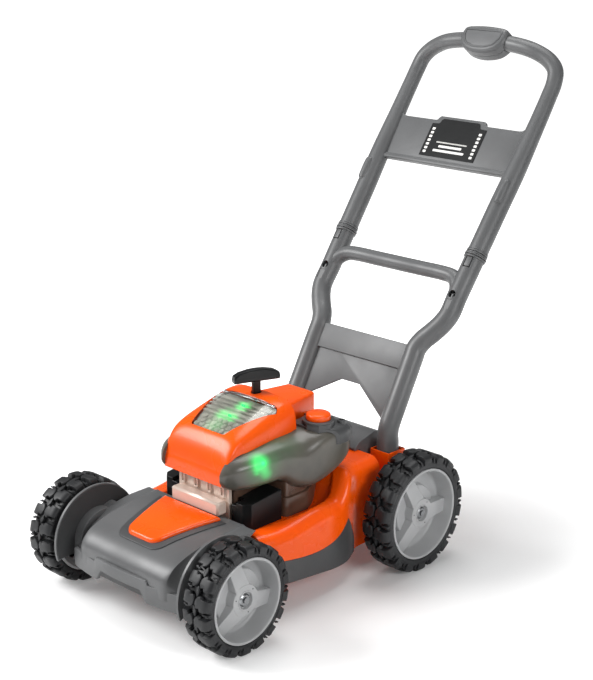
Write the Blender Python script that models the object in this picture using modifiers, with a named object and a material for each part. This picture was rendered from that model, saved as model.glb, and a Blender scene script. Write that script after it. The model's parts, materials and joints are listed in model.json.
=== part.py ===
"""Child-size toy push mower: moulded deck, lidded engine, four treaded wheels and a snap-together handle.

Metres, +Z up. The mower drives towards -Y and the operator stands at +Y, so +X is the operator's left.
Positions below are measured from the front axle (y = 0) and the ground (z = 0); the root empty then
moves the whole mower so that its origin lies under the middle of the object.
"""

import bmesh
import bpy
from math import acos, copysign, cos, pi, radians, sin, tan
from mathutils import Matrix, Vector

# Fits
FIT_GAP = 0.0003            # gap between pieces that touch
RUN_GAP = 0.0003            # radial gap of a running fit
SLIDE_GAP = 0.0005          # gap round a piece that slides

# Overall stance
WHEELBASE = 0.276
TRACK_OUTER = 0.144         # centre plane to the outer face of a tyre
TYRE_WIDTH = 0.036
WHEEL_INNER = TRACK_OUTER - TYRE_WIDTH
FRONT_WHEEL_R = 0.060
REAR_WHEEL_R = 0.069
FRONT_RIM_R = 0.0462
REAR_RIM_R = 0.0529
FRONT_SPOKE_TURN = -16.5    # degrees from straight back
REAR_SPOKE_TURN = -7.0

# Tyre tread
LUG_COUNT = 18
LUG_DEPTH = 0.0042
LUG_SHARE = 0.68            # share of the pitch that a lug fills
LUG_SLANT = 0.22            # zigzag of the lug edges, in pitches
LUG_DRAFT = 0.10
CENTRE_GROOVE = 0.004
SHOULDER_INSET = 0.0025
SHOULDER_DROP = 0.003
SIDE_LUG = 0.0008
SIDEWALL_SHARE = 0.45       # how far up the sidewall the lugs reach

# Rims and axles
RIM_LIP = 0.0024
RIM_TAPER = 0.0035
RIM_WEB_DEPTH = 0.022
RIM_WEB = 0.003
RIM_PLATEAU_R = 0.030
RIM_PLATEAU = 0.007
HUB_R = 0.017
HUB_RECESS = 0.004
HUB_POCKET_R = 0.0088
HUB_POCKET = 0.003
HUB_BACK_R = 0.009
SPOKE_WIDTH = 0.0175
SPOKE_TIP_WIDTH = 0.014
SPOKE_DROP = 0.007
RIM_SIDES = 20
AXLE_R = 0.003
AXLE_SIDES = 12
CAP_R = 0.0070
CAP_THICK = 0.0022

WHEEL_PLAY = 0.0004

# Handle feet, in sockets at the rear of the deck
LEG_HALF = 0.0755
FOOT_R = 0.0126
SOCKET_WALL = 0.0016

# Deck moulding
DECK_WHEEL_CLEAR = 0.0030    # widest point of the deck to the wheels' inner faces
DECK_HALF = WHEEL_INNER - DECK_WHEEL_CLEAR
DECK_PLAN = [(0.0648, DECK_HALF - 0.0135), (0.085, DECK_HALF - 0.0040), (0.108, DECK_HALF),
             (0.168, DECK_HALF), (0.195, DECK_HALF - 0.0045), (0.213, DECK_HALF - 0.0125)]
DECK_SOCKET_SKIN = 0.0009
DECK_REAR_HALF = LEG_HALF + FOOT_R + DECK_SOCKET_SKIN
DECK_NECK_Y = 0.2200
DECK_REAR_Y = 0.309
DECK_BASE_Z = 0.030
DECK_TOP_Z = 0.1010
DECK_BULGE = 0.0150
DECK_SIDE_WALL = 0.0065
DECK_ROOF = 0.0030
TONGUE_PROFILE = [(-0.0355, 0.0360), (-0.0355, 0.0540), (-0.0100, 0.0740), (0.0750, 0.0820),
                  (0.0750, 0.0360)]
TONGUE_WALL = 0.0040
TONGUE_REACH = 0.0100       # how far the tongue's hollow runs on into the deck's
HOLLOW_LOW_Z = 0.0240
WELL_DEPTH = 0.0130
WELL_R = 0.0895
WELL_Y = 0.1480
WELL_FRONT_HALF = 0.0720
WELL_FRONT_Y = 0.0600
PEDESTAL_Z = 0.1100
PEDESTAL_MARGIN = 0.0030
REAR_BLOCK_HALF = DECK_REAR_HALF - 0.0020
REAR_BLOCK_FRONT_Y = 0.2060
REAR_BLOCK_REAR_Y = 0.2620
REAR_BLOCK_Z = 0.1270
REAR_BLOCK_ROUND = 0.0060
REAR_RAMP = [(0.1880, 0.0990), (0.2090, 0.1180), (0.2160, 0.1215), (0.2160, 0.0900), (0.1880, 0.0900)]
REAR_RAMP_HALF = REAR_BLOCK_HALF - 0.0010
AXLE_BOSS_R = 0.0090

# Side skirts
SKIRT_THICK = 0.0032
SKIRT_EDGE = [(0.074, 0.0640), (0.098, 0.0595), (0.135, 0.0555), (0.163, 0.0580), (0.183, 0.0655),
              (0.196, 0.0765), (0.206, 0.0630), (0.213, 0.0500), (0.2155, 0.0400)]
SKIRT_LOW = [(0.2155, 0.0270), (0.185, 0.0250), (0.140, 0.0290), (0.074, 0.0350)]

# Front cover, its fenders just inside the wheels
FENDER_THICK = 0.0035
FENDER_WHEEL_CLEAR = 0.0070
FENDER_X = WHEEL_INNER - FENDER_WHEEL_CLEAR - FENDER_THICK
FENDER_STEP = 0.0095        # side wall to fender
COVER_HALF = FENDER_X - FENDER_STEP
COVER_FLAT = 0.0500
COVER_CREASE = COVER_HALF - 0.0220
COVER_RIDGE = 0.0016
COVER_WALL = 0.0028
COVER_CENTRE = [(-0.0460, 0.0660), (-0.0425, 0.0750), (-0.0340, 0.0830), (-0.0200, 0.0890),
                (0.0000, 0.0940), (0.0300, 0.0980), (0.0645, 0.1005)]
COVER_SIDE = [(-0.0370, 0.0620), (-0.0320, 0.0690), (-0.0235, 0.0785), (-0.0120, 0.0865),
              (0.0040, 0.0945), (0.0320, 0.1010), (0.0645, 0.1020)]
COVER_SKIRT_Z = 0.0480
COVER_SHOULDER = COVER_HALF - 0.0100     # half width where the top turns down to the side wall
FENDER_R = 0.0568
FENDER_LOW_Z = 0.0460
FENDER_CORE_R = 0.0320

# Front bumper strip
BUMPER_HALF = COVER_HALF - 0.0020
BUMPER_THICK = 0.0035
BUMPER_NOTCH_Z = 0.0520
BUMPER_PAD_Z = 0.0390
BUMPER_TOP_Z = 0.0650
BUMPER_STEP_Z = 0.0600
BUMPER_FOOT_Z = 0.0500
BUMPER_NOTCH_HALF = 0.0320
BUMPER_PAD_HALF = 0.0400
BUMPER_CENTRE_Y = -0.0465   # rear face of the strip on the centre plane
BUMPER_BOW = 0.0090
BUMPER_RIB_X = 0.0470
BUMPER_LEDGE_HALF = BUMPER_HALF + 0.0100
BUMPER_FOLDS = (-0.0700, -0.0500, -0.0200, 0.0200, 0.0500, 0.0700)     # where its facets meet

# Badge
BADGE_THICK = 0.0030
BADGE_TRAY_THICK = 0.0010
BADGE_REAR_HALF = 0.0385
BADGE_FRONT_HALF = 0.0190
BADGE_FRONT_Y = -0.0200
BADGE_REAR_Y = 0.0545
BADGE_BORDER = 0.0060

# Engine housings
HOOD_WALL = 0.0024
HOOD_DROP = 0.0008          # height of the rim below the arches' feet
HOOD_ARCHES = [(0.0444, 0.0556, 0.1394, 0.0556, 0.1402), (0.0470, 0.0590, 0.1545, 0.0620, 0.1640),
               (0.0488, 0.0670, 0.1655, 0.0700, 0.1790), (0.0500, 0.0780, 0.1705, 0.0810, 0.1885),
               (0.0515, 0.1020, 0.1712, 0.1040, 0.1975), (0.0520, 0.1440, 0.1712, 0.1440, 0.2095),
               (0.0520, 0.1630, 0.1712, 0.1610, 0.2110)]   # foot half width, y, z, then crown y, z
HOOD_ROUND = 4.4            # exponent of the arches, higher is squarer
HOOD_ACROSS = 12
WINDOW_FRONT_Y = 0.0790
WINDOW_SHOULDER_Y = 0.1360
WINDOW_REAR_Y = 0.1425
WINDOW_FRONT_HALF = 0.0250
WINDOW_WIDE_HALF = 0.0450
WINDOW_REAR_HALF = 0.0410
WINDOW_THICK = 0.0020
WINDOW_LOW_Z = 0.1750
WINDOW_INSET = 0.0008
TRIM_HALF = 0.0385
TRIM_Y = 0.1395
TRIM_DEEP = 0.0024
TRIM_TALL = 0.0016
TRIM_NUB = 0.0030
TAIL_FRONT_Y = 0.1560
TAIL_REAR_Y = 0.2250
TAIL_REAR_HALF = 0.0210
TAIL_FRONT_HALF = 0.0350
TAIL_TOP_Z = 0.1985
TAIL_LOW_Z = 0.1760
TAIL_ROUND = 0.0020

SHROUD_STATIONS = [(0.0530, 0.0470, 0.1560, 0.1430), (0.0580, 0.0535, 0.1640, 0.1360),
                   (0.0700, 0.0615, 0.1710, 0.1310), (0.0950, 0.0690, 0.1750, 0.1300),
                   (0.1240, 0.0745, 0.1780, 0.1300), (0.1400, 0.0785, 0.1790, 0.1190),
                   (0.1600, 0.0825, 0.1795, 0.1125), (0.1820, 0.0850, 0.1795, 0.1175),
                   (0.2030, 0.0855, 0.1790, 0.1280), (0.2160, 0.0820, 0.1770, 0.1360),
                   (0.2210, 0.0770, 0.1730, 0.1440)]    # y, half width, top z, bottom z
SHROUD_TOP_ROUND = 3.0      # exponents of the stations' upper and lower halves
SHROUD_LOW_ROUND = 5.0
SHROUD_SIDES = 20
SHROUD_WALL = 0.0022
SHROUD_MOUTH_HALF = 0.0440
NOSE_NOTCH_HALF = 0.0456
SHROUD_MOUTH_FRONT_Y = 0.0860
SHROUD_MOUTH_REAR_Y = 0.2020

BASE_HALF = 0.0660
BASE_NOSE_HALF = 0.0400
BASE_FRONT_Y = 0.0800
BASE_STEP_Y = 0.1285
BASE_STEP_SWEEP = 0.0040
BASE_TAPER_Y = 0.1620
BASE_REAR_HALF = 0.0470
BASE_REAR_Y = 0.1985
BASE_WALL = 0.0022

MUFFLER_HALF = 0.0375
MUFFLER_FRONT_Y = 0.0570
MUFFLER_DEEP = 0.0147
MUFFLER_LOW_Z = 0.1012
MUFFLER_TOP_Z = 0.1170
MUFFLER_BEVEL = 0.0022
MUFFLER_PLATE_HALF = 0.0400
MUFFLER_PLATE_THICK = 0.0040
MUFFLER_PLATE_TOP_Z = 0.1380
MUFFLER_HOOK = 0.0032
MUFFLER_HOOK_DEEP = 0.0026

AIR_BOX_IN = 0.0435
AIR_BOX_STEP = 0.0510
AIR_BOX_OUT = 0.0680
AIR_BOX_FRONT_Y = 0.0715
AIR_BOX_REAR_Y = 0.1235
AIR_BOX_TOP_Z = 0.1175
AIR_BOX_RISE = 0.0060
AIR_BOX_CHAMFER = 0.0070

TANK_X = 0.0620
TANK_Y = 0.1870
TANK_SKIN = 0.0026
TANK_OUTLINE = [(0.0390, 0.1660), (0.0600, 0.1690), (0.0760, 0.1780), (0.0900, 0.1960), (0.0900, 0.2240),
                (0.0390, 0.2240)]
TANK_LOW_Z = 0.1610
NECK_R = 0.0170
NECK_FOOT_R = 0.0200
NECK_POCKET = 0.0030
NECK_TOP_Z = 0.1865
NECK_SIDES = 8
CAP_BUTTON_R = 0.0138
CAP_BUTTON_THICK = 0.0075
CAP_STEM_R = 0.0055
CAP_STEM_LOW = 0.0160       # stem's end below the neck's top
CAP_TRAVEL = 0.0022
CAP_EDGE = 0.0012

# Rear door
DOOR_SOCKET_CLEAR = 0.0050
DOOR_HALF = LEG_HALF - FOOT_R - FIT_GAP - SOCKET_WALL - DOOR_SOCKET_CLEAR
DOOR_WALL = 0.0025
DOOR_TOP = [(0.2540, 0.1273), (0.2540, 0.1300), (0.2620, 0.1362), (0.2880, 0.1428), (0.3030, 0.1380),
            (0.3118, 0.1180), (0.3118, 0.0950)]

# Pull starter
STARTER_Y = 0.1525
STARTER_GRIP_LENGTH = 0.0540
STARTER_GRIP_WIDTH = 0.0110
STARTER_GRIP_TURN = 68.0    # degrees from +X
STARTER_GRIP_LOW_Z = 0.2240
STARTER_GRIP_END = 0.0080
STARTER_GRIP_ARCH = 0.0060
STARTER_STEM_HALF = (0.0045, 0.0035)
STARTER_STEM_LOW_Z = 0.2040
STARTER_HOLE_R = 0.0062
CORD_R = 0.0012
CORD_LOW_Z = 0.1110
SPOOL_R = 0.0110
SPOOL_FLANGE_R = 0.0145
SPOOL_HALF = 0.0045
SPOOL_FLANGE = 0.0015
SPOOL_Z = 0.1740
SPOOL_PIN_R = 0.0020
FRAME_CHEEK = 0.0020
FRAME_REACH = 0.0050
RECOIL_R = 0.0135
RECOIL_WIDE = 0.0060

# Inner works
CHASSIS_Z = 0.1420
CHASSIS_THICK = 0.0020
CHASSIS_HALF = 0.0360
CHASSIS_FRONT_Y = 0.0900
CHASSIS_REAR_Y = 0.1930
CHASSIS_LEG = 0.0060
CHASSIS_LEG_X = 0.0300
WING_HALF = 0.0525
WING_DEEP = 0.0140
LED_X = 0.0490
LED_Y = 0.0980
LED_R = 0.0025
LED_TALL = 0.0080
BOARD_SIZE = (0.0340, 0.0300, 0.0016)
BOARD_Y = 0.1765
SPEAKER_R = 0.0180
SPEAKER_DEEP = 0.0090
SPEAKER_Y = 0.1020
FINS_HALF = 0.0330
FINS_FRONT_Y = 0.0905
FINS_PITCH = 0.0068
FINS_BODY_Z = 0.1740
FINS_CLEAR = 0.0080         # from the fins' tips to the outside of the hood
FIN_COUNT = 5
FIN_THICK = 0.0022

# Battery compartment
CELL_R = 0.00715
CELL_LENGTH = 0.0500
NIPPLE_R = 0.0027
NIPPLE = 0.0012
CELL_PITCH = 0.0152
CELL_COUNT = 3
TRAY_WALL = 0.0020
TRAY_Y = 0.1680
DOOR_PLATE = 0.0020
SWITCH_Y = 0.2340
SWITCH_TRAVEL = 0.0040
SWITCH_SIZE = (0.0160, 0.0090, 0.0060)
SWITCH_WALL = 0.0015
SLIDER_SIZE = (0.0060, 0.0040, 0.0060)

# Handle
HANDLE_Y = 0.4720
HANDLE_Z = 0.42207
HANDLE_LEAN = 36.1
HANDLE_R = 0.0120
HANDLE_SIDES_STEP = 4
UPPER_RUN = [(0.1020, -0.0400, 0.0000, 0.0120), (0.1035, 0.0000, 0.0000, 0.0118),
             (0.1045, 0.0600, 0.0000, 0.0102), (0.1040, 0.1220, 0.0010, 0.0096),
             (0.1010, 0.1365, 0.0035, 0.0096), (0.0930, 0.1455, 0.0070, 0.0096),
             (0.0800, 0.1520, 0.0115, 0.0096), (0.0600, 0.1562, 0.0175, 0.0096),
             (0.0300, 0.1592, 0.0200, 0.0096), (0.0000, 0.1600, 0.0210, 0.0096)]   # x, s, forward, radius
JOINT_X = 0.1005
JOINT_SPLAY = 0.0235        # outward drift per length up the joint
JOINT_S = -0.1040
COLLAR_LENGTH = 0.0058
COLLAR_R = 0.0136
SPIGOT_R = 0.0093
SPIGOT_LENGTH = 0.0440
TAB_WIDTH = 0.0080
TAB_LENGTH = 0.0130
TAB_S = -0.1175
TAB_TURN = 32.0             # degrees outwards from straight ahead
CROSSBAR_S = -0.1345
CROSSBAR_R = 0.0088
CROSSBAR_HALF = 0.0925
CROSSBAR_END = (0.0990, -0.1720)     # x, s inside the leg
CROSSBAR_BEND = 0.0260
SCREW_S = -0.1600
SCREW_R = 0.0048
SCREW_DEEP = 0.0070
KINK = [(0.0992, -0.1600), (0.0995, -0.1800), (0.0955, -0.1935), (0.0880, -0.2065), (0.0800, -0.2180),
        (0.0755, -0.2300)]
LEG_BEND = [(0.2950, 0.1620), (0.2903, 0.1520), (0.2890, 0.1430)]   # (y, z) down into the upright foot
LEG_LEAN = 29.2
LEG_FOOT_Y = 0.2890
FOOT_LOW_Z = 0.0900
SOCKET_TOP_Z = 0.1270
SOCKET_LOW_Z = 0.0820
PLATE_THICK = 0.0030
PLATE_BAND = 0.0060
PLATE_TOP_Z = 0.2370
PLATE_STEP_Z = 0.2110
PLATE_NOTCH_Z = 0.1850
PLATE_LOW_Z = 0.1580
PLATE_NOTCH_HALF = 0.0145
PLATE_NOTCH_FOOT = 0.0650
PANEL_LOW_S = -0.0030
PANEL_TOP_S = 0.0560
PANEL_HUMP_S = 0.0620
PANEL_HUMP_HALF = 0.0310
PANEL_THICK = 0.0040
PANEL_LIP = 0.0060
PANEL_LIP_THICK = 0.0090
PANEL_HALF = 0.0990
LABEL = [(0.0415, 0.0035, 0.002), (0.0415, 0.0505, 0.002), (0.0290, 0.0520, 0.0), (0.0265, 0.0580, 0.002)]
LABEL_THICK = 0.0006
BOSS_S = (-0.0400, -0.0120)
BOSS_R = 0.0055
BOSS_OUT = 0.0095
BOSS_TURN = 55.0
POD_OUTLINE = [(0.0290, 0.1745, 0.0), (0.0325, 0.1700, 0.0), (0.0330, 0.1630, 0.0), (0.0310, 0.1550, 0.0),
               (0.0255, 0.1470, 0.0), (0.0170, 0.1410, 0.0), (0.0085, 0.1385, 0.0)]
POD_INSERT = [(0.0250, 0.1640, 0.0), (0.0245, 0.1580, 0.0), (0.0200, 0.1510, 0.0), (0.0130, 0.1465, 0.0),
              (0.0060, 0.1445, 0.0)]
POD_FORWARD = 0.0205        # middle of the pod ahead of the handle's plane
POD_DEPTH = 0.0130
POD_ROUND = 0.0040
POD_INSERT_THICK = 0.0012

MID_Y = 0.25355             # front axle to the middle of the mower's length

GREY = (0.150, 0.152, 0.156)
DARK_GREY = (0.060, 0.062, 0.066)
ORANGE = (1.000, 0.085, 0.004)
BLACK = (0.012, 0.012, 0.014)


def start_scene():
    """Empty the file and give the mower its two collections."""
    for old in list(bpy.data.objects):
        bpy.data.objects.remove(old)
    for name in ("toy_mower", "cutters"):
        collection = bpy.data.collections.new(name)
        bpy.context.scene.collection.children.link(collection)
    return bpy.data.collections["toy_mower"], bpy.data.collections["cutters"]


PARTS, CUTTERS = start_scene()


def finish_of(name, colour, roughness, metallic=0.0, alpha=1.0):
    """A plain Principled material."""
    material = bpy.data.materials.new(name)
    material.use_nodes = True
    shader = material.node_tree.nodes["Principled BSDF"]
    shader.inputs["Base Color"].default_value = (*colour, 1.0)
    shader.inputs["Roughness"].default_value = roughness
    shader.inputs["Metallic"].default_value = metallic
    shader.inputs["Alpha"].default_value = alpha
    return material


ORANGE_GLOSS = finish_of("orange_gloss_abs", ORANGE, 0.22)
GREY_SATIN = finish_of("grey_satin_pp", GREY, 0.45)
DARK_SATIN = finish_of("dark_grey_pp", DARK_GREY, 0.45)
BLACK_SATIN = finish_of("black_abs", BLACK, 0.35)
RUBBER = finish_of("black_tread", (0.020, 0.020, 0.022), 0.6)
RIM_GREY = finish_of("light_grey_rim", (0.330, 0.332, 0.336), 0.4)
SMOKE = finish_of("smoky_clear", (0.110, 0.100, 0.090), 0.15, alpha=0.6)
CHAMPAGNE = finish_of("champagne_plastic", (0.560, 0.400, 0.330), 0.4)
STEEL = finish_of("axle_steel", (0.560, 0.570, 0.580), 0.3, metallic=1.0)
SILVER = finish_of("silver_trim", (0.700, 0.700, 0.710), 0.25, metallic=0.8)
CORD_BLACK = finish_of("cord_black", BLACK, 0.8)
LED_GREEN = finish_of("led_green", (0.000, 0.800, 0.120), 0.1)
BOARD_GREEN = finish_of("board_green", (0.010, 0.160, 0.060), 0.4)
CELL_JACKET = finish_of("cell_jacket", (0.250, 0.255, 0.260), 0.35)


def empty(name, place, parent=None):
    """A joint origin or carrier, placed in the mower's own frame."""
    marker = bpy.data.objects.new(name, None)
    marker.empty_display_size = 0.01
    PARTS.objects.link(marker)
    marker.location = place
    marker.parent = parent
    return marker


ROOT = empty("mower_origin", (0.0, -MID_Y, 0.0))


def put(name, mesh, material=None, parent=ROOT, smooth=35.0):
    """Make a part from a finished mesh, or a cutter where it has no material."""
    obj = bpy.data.objects.new(name, mesh)
    obj.parent = parent
    if material is None:
        CUTTERS.objects.link(obj)
        obj.hide_render = True
        obj.display_type = "WIRE"
        return obj
    PARTS.objects.link(obj)
    mesh.materials.clear()
    mesh.materials.append(material)
    mesh.shade_smooth()
    mesh.set_sharp_from_angle(angle=radians(smooth))
    return obj


def is_flat(face):
    """Whether all corners of a face lie in one plane."""
    centre = face.calc_center_median()
    return all(abs((corner.co - centre).dot(face.normal)) < 2e-6 for corner in face.verts)


def to_mesh(bm, name="shape"):
    """Turn a bmesh into mesh data with flat, outward faces."""
    bm.normal_update()
    bent = [face for face in bm.faces if len(face.verts) > 3 and not is_flat(face)]
    bmesh.ops.triangulate(bm, faces=bent)
    bmesh.ops.recalc_face_normals(bm, faces=bm.faces)
    if all(edge.is_manifold for edge in bm.edges) and bm.calc_volume(signed=True) < 0.0:
        bmesh.ops.reverse_faces(bm, faces=bm.faces)
    mesh = bpy.data.meshes.new(name)
    bm.to_mesh(mesh)
    bm.free()
    return mesh


def combine(obj, tools, operation="DIFFERENCE"):
    """Cut or join other shapes with Boolean modifiers."""
    for tool in tools:
        step = obj.modifiers.new(operation.lower(), "BOOLEAN")
        step.operation = operation
        step.solver = "EXACT"
        step.object = tool
    return obj


def rounded(corners, steps=3, closed=True):
    """Outline through (a, b, radius) corners, each turned into an arc of that radius."""
    outline = []
    count = len(corners)
    for index, (a, b, radius) in enumerate(corners):
        corner = Vector((a, b))
        ends = not closed and index in (0, count - 1)
        if radius <= 0.0 or ends:
            outline.append(corner)
            continue
        before = (Vector(corners[index - 1][:2]) - corner).normalized()
        after = (Vector(corners[(index + 1) % count][:2]) - corner).normalized()
        half = acos(max(-1.0, min(1.0, before.dot(after)))) / 2.0
        centre = corner + (before + after).normalized() * radius / sin(half)
        start = corner + before * radius / tan(half) - centre
        sweep = pi - 2.0 * half
        side = 1.0 if before.x * after.y - before.y * after.x < 0.0 else -1.0
        for step in range(steps + 1):
            turn = side * sweep * step / steps
            outline.append(centre + Matrix.Rotation(turn, 2) @ start)
    return outline


def mirrored(half):
    """Whole outline from its +X half, which runs from the front round to the rear."""
    return half + [(-corner[0], *corner[1:]) for corner in reversed(half)]


PLAN = Matrix.Identity(4)                                                  # outline (x, y), up
SIDE = Matrix(((0, 0, 1, 0), (1, 0, 0, 0), (0, 1, 0, 0), (0, 0, 0, 1)))    # outline (y, z), towards +X
FRONT = Matrix(((1, 0, 0, 0), (0, 0, -1, 0), (0, 1, 0, 0), (0, 0, 0, 1)))  # outline (x, z), towards -Y


def leaning(origin, lean):
    """Frame in a plane that leans back: outline (x, up the slope), depth towards the front."""
    turn = Matrix.Rotation(-radians(lean), 4, "X") @ FRONT
    return Matrix.Translation(origin) @ turn


HANDLE = leaning((0.0, HANDLE_Y, HANDLE_Z), HANDLE_LEAN)


def slab(outline, low, high, frame=PLAN, bevel=0.0, segments=2, ends="high"):
    """Solid of a flat outline between two depths, its rim rounded where a bevel is given."""
    bm = bmesh.new()
    lower = [bm.verts.new((corner[0], corner[1], low)) for corner in outline]
    upper = [bm.verts.new((corner[0], corner[1], high)) for corner in outline]
    bm.faces.new(lower)
    bm.faces.new(list(reversed(upper)))
    for index, corner in enumerate(lower):
        after = (index + 1) % len(lower)
        bm.faces.new((corner, lower[after], upper[after], upper[index]))
    bm.normal_update()
    bmesh.ops.recalc_face_normals(bm, faces=bm.faces)
    if bevel > 0.0:
        rims = [lower] * (ends in ("low", "both")) + [upper] * (ends in ("high", "both"))
        rim = [edge for edge in bm.edges
               if any(edge.verts[0] in ring and edge.verts[1] in ring for ring in rims)]
        bmesh.ops.bevel(bm, geom=rim, offset=bevel, affect="EDGES", segments=segments, profile=0.5,
                        material=-1, clamp_overlap=True)
    bm.transform(frame)
    return to_mesh(bm)


def box(low, high, bevel=0.0, segments=2):
    """Box between two corners."""
    bm = bmesh.new()
    size = Vector(high) - Vector(low)
    bmesh.ops.create_cube(bm, size=1.0)
    bmesh.ops.scale(bm, vec=size, verts=bm.verts)
    bmesh.ops.translate(bm, vec=(Vector(high) + Vector(low)) / 2.0, verts=bm.verts)
    if bevel > 0.0:
        bmesh.ops.bevel(bm, geom=bm.edges, offset=bevel, affect="EDGES", segments=segments, profile=0.5,
                        material=-1)
    return to_mesh(bm)


def rod(start, end, radius, sides=12, end_radius=None):
    """Cylinder or cone between two points."""
    start, end = Vector(start), Vector(end)
    bm = bmesh.new()
    bmesh.ops.create_cone(bm, cap_ends=True, segments=sides, radius1=radius,
                          radius2=radius if end_radius is None else end_radius, depth=(end - start).length)
    turn = (end - start).to_track_quat("Z", "Y").to_matrix().to_4x4()
    bm.transform(Matrix.Translation((start + end) / 2.0) @ turn)
    return to_mesh(bm)


def turned(name, profile, sides, material, parent=ROOT):
    """Turned piece about its own Z: a profile of (radius, height) swept by a Screw modifier."""
    if sum(a[0] * b[1] - b[0] * a[1] for a, b in zip(profile, profile[1:] + profile[:1])) > 0.0:
        profile = list(reversed(profile))
    bm = bmesh.new()
    ring = [bm.verts.new((radius, 0.0, height)) for radius, height in profile]
    for before, after in zip(ring, ring[1:]):
        bm.edges.new((before, after))
    if profile[0][0] > 0.0:
        bm.edges.new((ring[-1], ring[0]))
    mesh = bpy.data.meshes.new(name)
    bm.to_mesh(mesh)
    bm.free()
    obj = put(name, mesh, material, parent)
    sweep = obj.modifiers.new("turn", "SCREW")
    sweep.axis = "Z"
    sweep.steps = sides
    sweep.render_steps = sides
    sweep.use_merge_vertices = True
    sweep.merge_threshold = 0.00001
    return obj


def tube(points, radius, shares=None, resolution=HANDLE_SIDES_STEP):
    """Solid round bar along points, its radius times each point's share."""
    curve = bpy.data.curves.new("run", "CURVE")
    curve.dimensions = "3D"
    curve.bevel_depth = radius
    curve.bevel_resolution = resolution
    curve.use_fill_caps = True
    curve.twist_mode = "MINIMUM"
    spline = curve.splines.new("POLY")
    spline.points.add(len(points) - 1)
    for index, (point, place) in enumerate(zip(spline.points, points)):
        point.co = (*place, 1.0)
        point.radius = 1.0 if shares is None else shares[index]
    run = bpy.data.objects.new("run", curve)
    CUTTERS.objects.link(run)
    mesh = bpy.data.meshes.new_from_object(run.evaluated_get(bpy.context.evaluated_depsgraph_get()))
    bpy.data.objects.remove(run)
    bm = bmesh.new()
    bm.from_mesh(mesh)
    bmesh.ops.remove_doubles(bm, verts=bm.verts, dist=0.00001)
    return to_mesh(bm)


def place_on(frame, outline, depth=0.0):
    """Points of a flat path as places in the mower."""
    return [frame @ Vector((corner[0], corner[1], depth)) for corner in outline]


def between(stations, position):
    """Value at a position along (position, value) stations."""
    for (start, low), (end, high) in zip(stations, stations[1:]):
        if position <= end:
            share = max(0.0, (position - start) / (end - start))
            return low + (high - low) * share
    return stations[-1][1]


# Wheels

def tyre_mesh(outer_r, rim_r):
    """Tyre as one skin: a spun section whose lug faces are pushed out in two staggered rows."""
    pitch = 2.0 * pi / LUG_COUNT
    widest = pitch * max(LUG_SHARE, 1.0 - LUG_SHARE)
    bore_r = (rim_r + FIT_GAP) / cos(widest / 2.0)
    carcass_r = outer_r - LUG_DEPTH
    half = TYRE_WIDTH / 2.0 - SIDE_LUG
    side_r = bore_r + (carcass_r - bore_r) * SIDEWALL_SHARE
    row_mid = (half + CENTRE_GROOVE / 2.0) / 2.0
    tread = half - SHOULDER_INSET
    section = [(-half, bore_r, 0.0), (-half, side_r, 0.0), (-tread, carcass_r - SHOULDER_DROP, 0.0),
               (-row_mid, carcass_r, LUG_SLANT), (-CENTRE_GROOVE / 2.0, carcass_r, 0.0),
               (CENTRE_GROOVE / 2.0, carcass_r, 0.5), (row_mid, carcass_r, 0.5 + LUG_SLANT),
               (tread, carcass_r - SHOULDER_DROP, 0.5), (half, side_r, 0.5), (half, bore_r, 0.0)]
    bm = bmesh.new()
    rings = []
    for step in range(2 * LUG_COUNT):
        angle = pitch * (step // 2 + (LUG_SHARE if step % 2 else 0.0))
        ring = []
        for across, radius, shift in section:
            turn = angle + shift * pitch
            ring.append(bm.verts.new((across, radius * sin(turn), radius * cos(turn))))
        rings.append(ring)
    lugs = []
    for step, ring in enumerate(rings):
        after = rings[(step + 1) % len(rings)]
        strip = []
        for index in range(len(section)):
            following = (index + 1) % len(section)
            strip.append(bm.faces.new((ring[index], ring[following], after[following], after[index])))
        if step % 2 == 0:
            lugs.append(strip[1:4])
            lugs.append(strip[5:8])
    for lug in lugs:
        pushed = bmesh.ops.extrude_face_region(bm, geom=lug)["geom"]
        corners = [part for part in pushed if isinstance(part, bmesh.types.BMVert)]
        centre = sum((corner.co for corner in corners), Vector()) / len(corners)
        for corner in corners:
            radial = Vector((0.0, corner.co.y, corner.co.z))
            outside = 1.0 if corner.co.x > 0.0 else -1.0
            if radial.length > side_r + 0.0001:
                corner.co += (centre - corner.co) * LUG_DRAFT
                radial = Vector((0.0, corner.co.y, corner.co.z))
                rise = outer_r if abs(corner.co.x) < tread - 0.003 else outer_r - SHOULDER_DROP * 0.6
                corner.co += radial.normalized() * (rise - radial.length)
                if abs(corner.co.x) > tread - 0.003:
                    corner.co.x = outside * (tread + SIDE_LUG)
            else:
                corner.co.x += outside * SIDE_LUG
        bmesh.ops.delete(bm, geom=lug, context="FACES_KEEP_BOUNDARY")
    return to_mesh(bm)


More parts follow.
